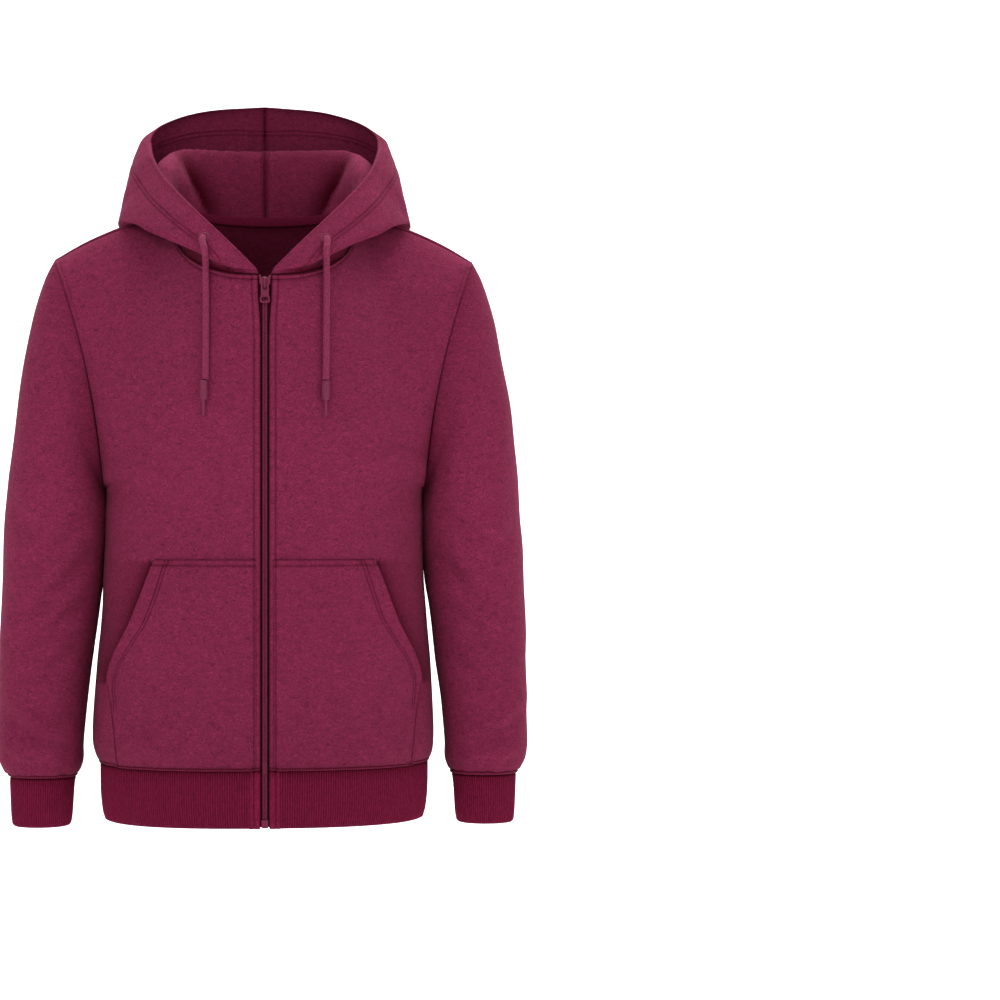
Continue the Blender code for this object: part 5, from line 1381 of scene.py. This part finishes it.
def ring_plate(centre_w, hole, outer, u0, u1, soft=0.3):
    """A frame between a hole and an outline with the same number of points."""
    rows = []
    for line, inset, u in ((outer, soft, u0), (outer, 0.0, u0 + soft), (outer, 0.0, u1 - soft),
                           (outer, soft, u1), (hole, -soft, u1), (hole, 0.0, u1 - soft),
                           (hole, 0.0, u0 + soft), (hole, -soft, u0)):
        middle = np.array([0.0, centre_w])
        away = line - middle
        size = np.linalg.norm(away, axis=1)[:, None]
        rows.append([leaned(x, u, w) for x, w in line - away / size * inset])
    rows.append(rows[0])
    rows = np.array(rows)
    return np.concatenate(rows), faces_of(len(rows), len(outer), True).tolist()


def by_angle(centre_w, radius_x, radius_w, square, turns):
    c, s = np.cos(turns), np.sin(turns)
    return np.column_stack([np.sign(c) * np.abs(c) ** (2 / square) * radius_x,
                            centre_w + np.sign(s) * np.abs(s) ** (2 / square) * radius_w])


def frame_part(w_low, w_high, hole_w, hole_x, hole_half, square):
    """One part of the pull, round one hole, in its own depth."""
    turns = np.linspace(0, 2 * math.pi, 96, endpoint=False)
    hole = by_angle(hole_w, hole_x, hole_half, square, turns)
    outer = []
    middle_w = hole_w
    for x, w in hole:
        # Go out from the hole's middle to the pull's own edge.
        dx, dw = x / hole_x, (w - hole_w) / hole_half
        size = math.hypot(dx, dw)
        dx, dw = dx / size, dw / size
        t = np.linspace(0.0, 14.0, 281)
        px, pw = dx * t, middle_w + dw * t
        widths = through(PULL_WIDTHS, np.clip(pw, -19.6, 0.65))[:, 0]
        inside = (np.abs(px) <= widths) & (pw >= w_low) & (pw <= w_high)
        last = int(np.argmin(inside)) if not inside.all() else len(t)
        outer.append((px[max(last - 1, 0)], pw[max(last - 1, 0)]))
    return hole, np.array(outer)


PULL_WIDTHS = [(-19.6, 3.7), (-18.8, 5.0), (-17.4, 5.6), (-15.4, 5.6), (-13.2, 5.2), (-11.0, 4.7),
               (-8.0, 4.4), (-4.0, 4.6), (0.0, 4.4), (0.65, 3.7)]
parts = []
for w_low, w_high, hole_w, hole_x, hole_half, square in (
        (-19.6, -11.3, -15.5, 3.6, 2.45, 3.2), (-11.6, 0.65, -2.7, 2.5, 2.0, 2.6)):
    hole, outer = frame_part(w_low, w_high, hole_w, hole_x, hole_half, square)
    shift = np.array([0.0, AXIS_W])
    parts.append(ring_plate(hole_w + AXIS_W, hole + shift, outer + shift, AXIS_U - 0.65, AXIS_U + 0.65))
turns = np.linspace(0, 2 * math.pi, 72, endpoint=False)
rim = by_angle(-15.5 + AXIS_W, 4.1, 2.95, 3.0, turns)
rim_line = [leaned(x, AXIS_U + 0.55, w) for x, w in np.concatenate([rim, rim[:2]])]
rim_piece = swept("rim", rim_line, lambda s, turn: 0.5 + 0 * turn, 10, ends=False)
parts.append(mesh_parts(rim_piece))
placed(joined("pull_tab", parts), "coloured_metal", stands_for=["zip_pull"], body="pull")

# Turned-over tape ends beside the slider.
for side, word in ((1, "left"), (-1, "right")):
    line = [np.array([side * x, float(centre_y(z)[0]) + y, z]) for x, y, z in
            ((4.6, 2.4, -70.0), (5.0, 1.6, -66.0), (5.2, 1.0, -62.5), (5.5, 1.4, -59.6))]
    placed(swept(f"{word}_tape_end", rounded_line(line, 14),
                 lambda s, turn: 1.5 - 0.5 * np.abs(np.sin(turn)), 14), "tape", "braid")

# ---- floor, backdrop and light ------------------------------------------------------------------
profile = [(-7.0, -0.92), (2.6, -0.92)]
profile += [(2.6 + 1.8 * math.sin(t), 0.88 - 1.8 * math.cos(t)) for t in np.linspace(0.1, math.pi / 2, 14)]
profile += [(4.4, 6.0)]
points = [(x * 1000, y * 1000, z * 1000) for y, z in profile for x in (-7.0, 7.0)]
floor = mesh_object("floor", points, faces_of(len(profile), 2, False))
pale = bpy.data.materials.new("pale")
pale.use_nodes = True
shader = pale.node_tree.nodes["Principled BSDF"]
shader.inputs["Roughness"].default_value = 1.0
shader.inputs["Base Color"].default_value = (0.93, 0.93, 0.93, 1)
shader.inputs["Specular IOR Level"].default_value = 0.0
floor.data.materials.append(pale)

world = bpy.data.worlds.new("world")
bpy.context.scene.world = world
world.use_nodes = True
world.node_tree.nodes["Background"].inputs["Color"].default_value = (1, 1, 1, 1)
world.node_tree.nodes["Background"].inputs["Strength"].default_value = 0.40


def soft_light(name, place, target, size, power):
    light = bpy.data.lights.new(name, "AREA")
    light.shape, light.size, light.size_y, light.energy = "RECTANGLE", size[0], size[1], power
    lamp = bpy.data.objects.new(name, light)
    bpy.context.scene.collection.objects.link(lamp)
    lamp.location = place
    lamp.rotation_euler = (Vector(target) - Vector(place)).to_track_quat("-Z", "Y").to_euler()


soft_light("key", (-2.0, -3.4, 1.9), (0, 0, -0.3), (1.8, 1.8), 40)
soft_light("fill", (2.6, -3.0, 1.0), (0, 0, -0.3), (2.0, 2.2), 24)
soft_light("top", (0.2, 0.4, 2.6), (0, 0, -0.2), (2.2, 1.6), 12)
soft_light("floor_wash", (0.4, 2.2, 3.6), (0.4, 3.2, 0.0), (5.0, 2.4), 330)

bpy.context.scene.view_settings.view_transform = "Standard"
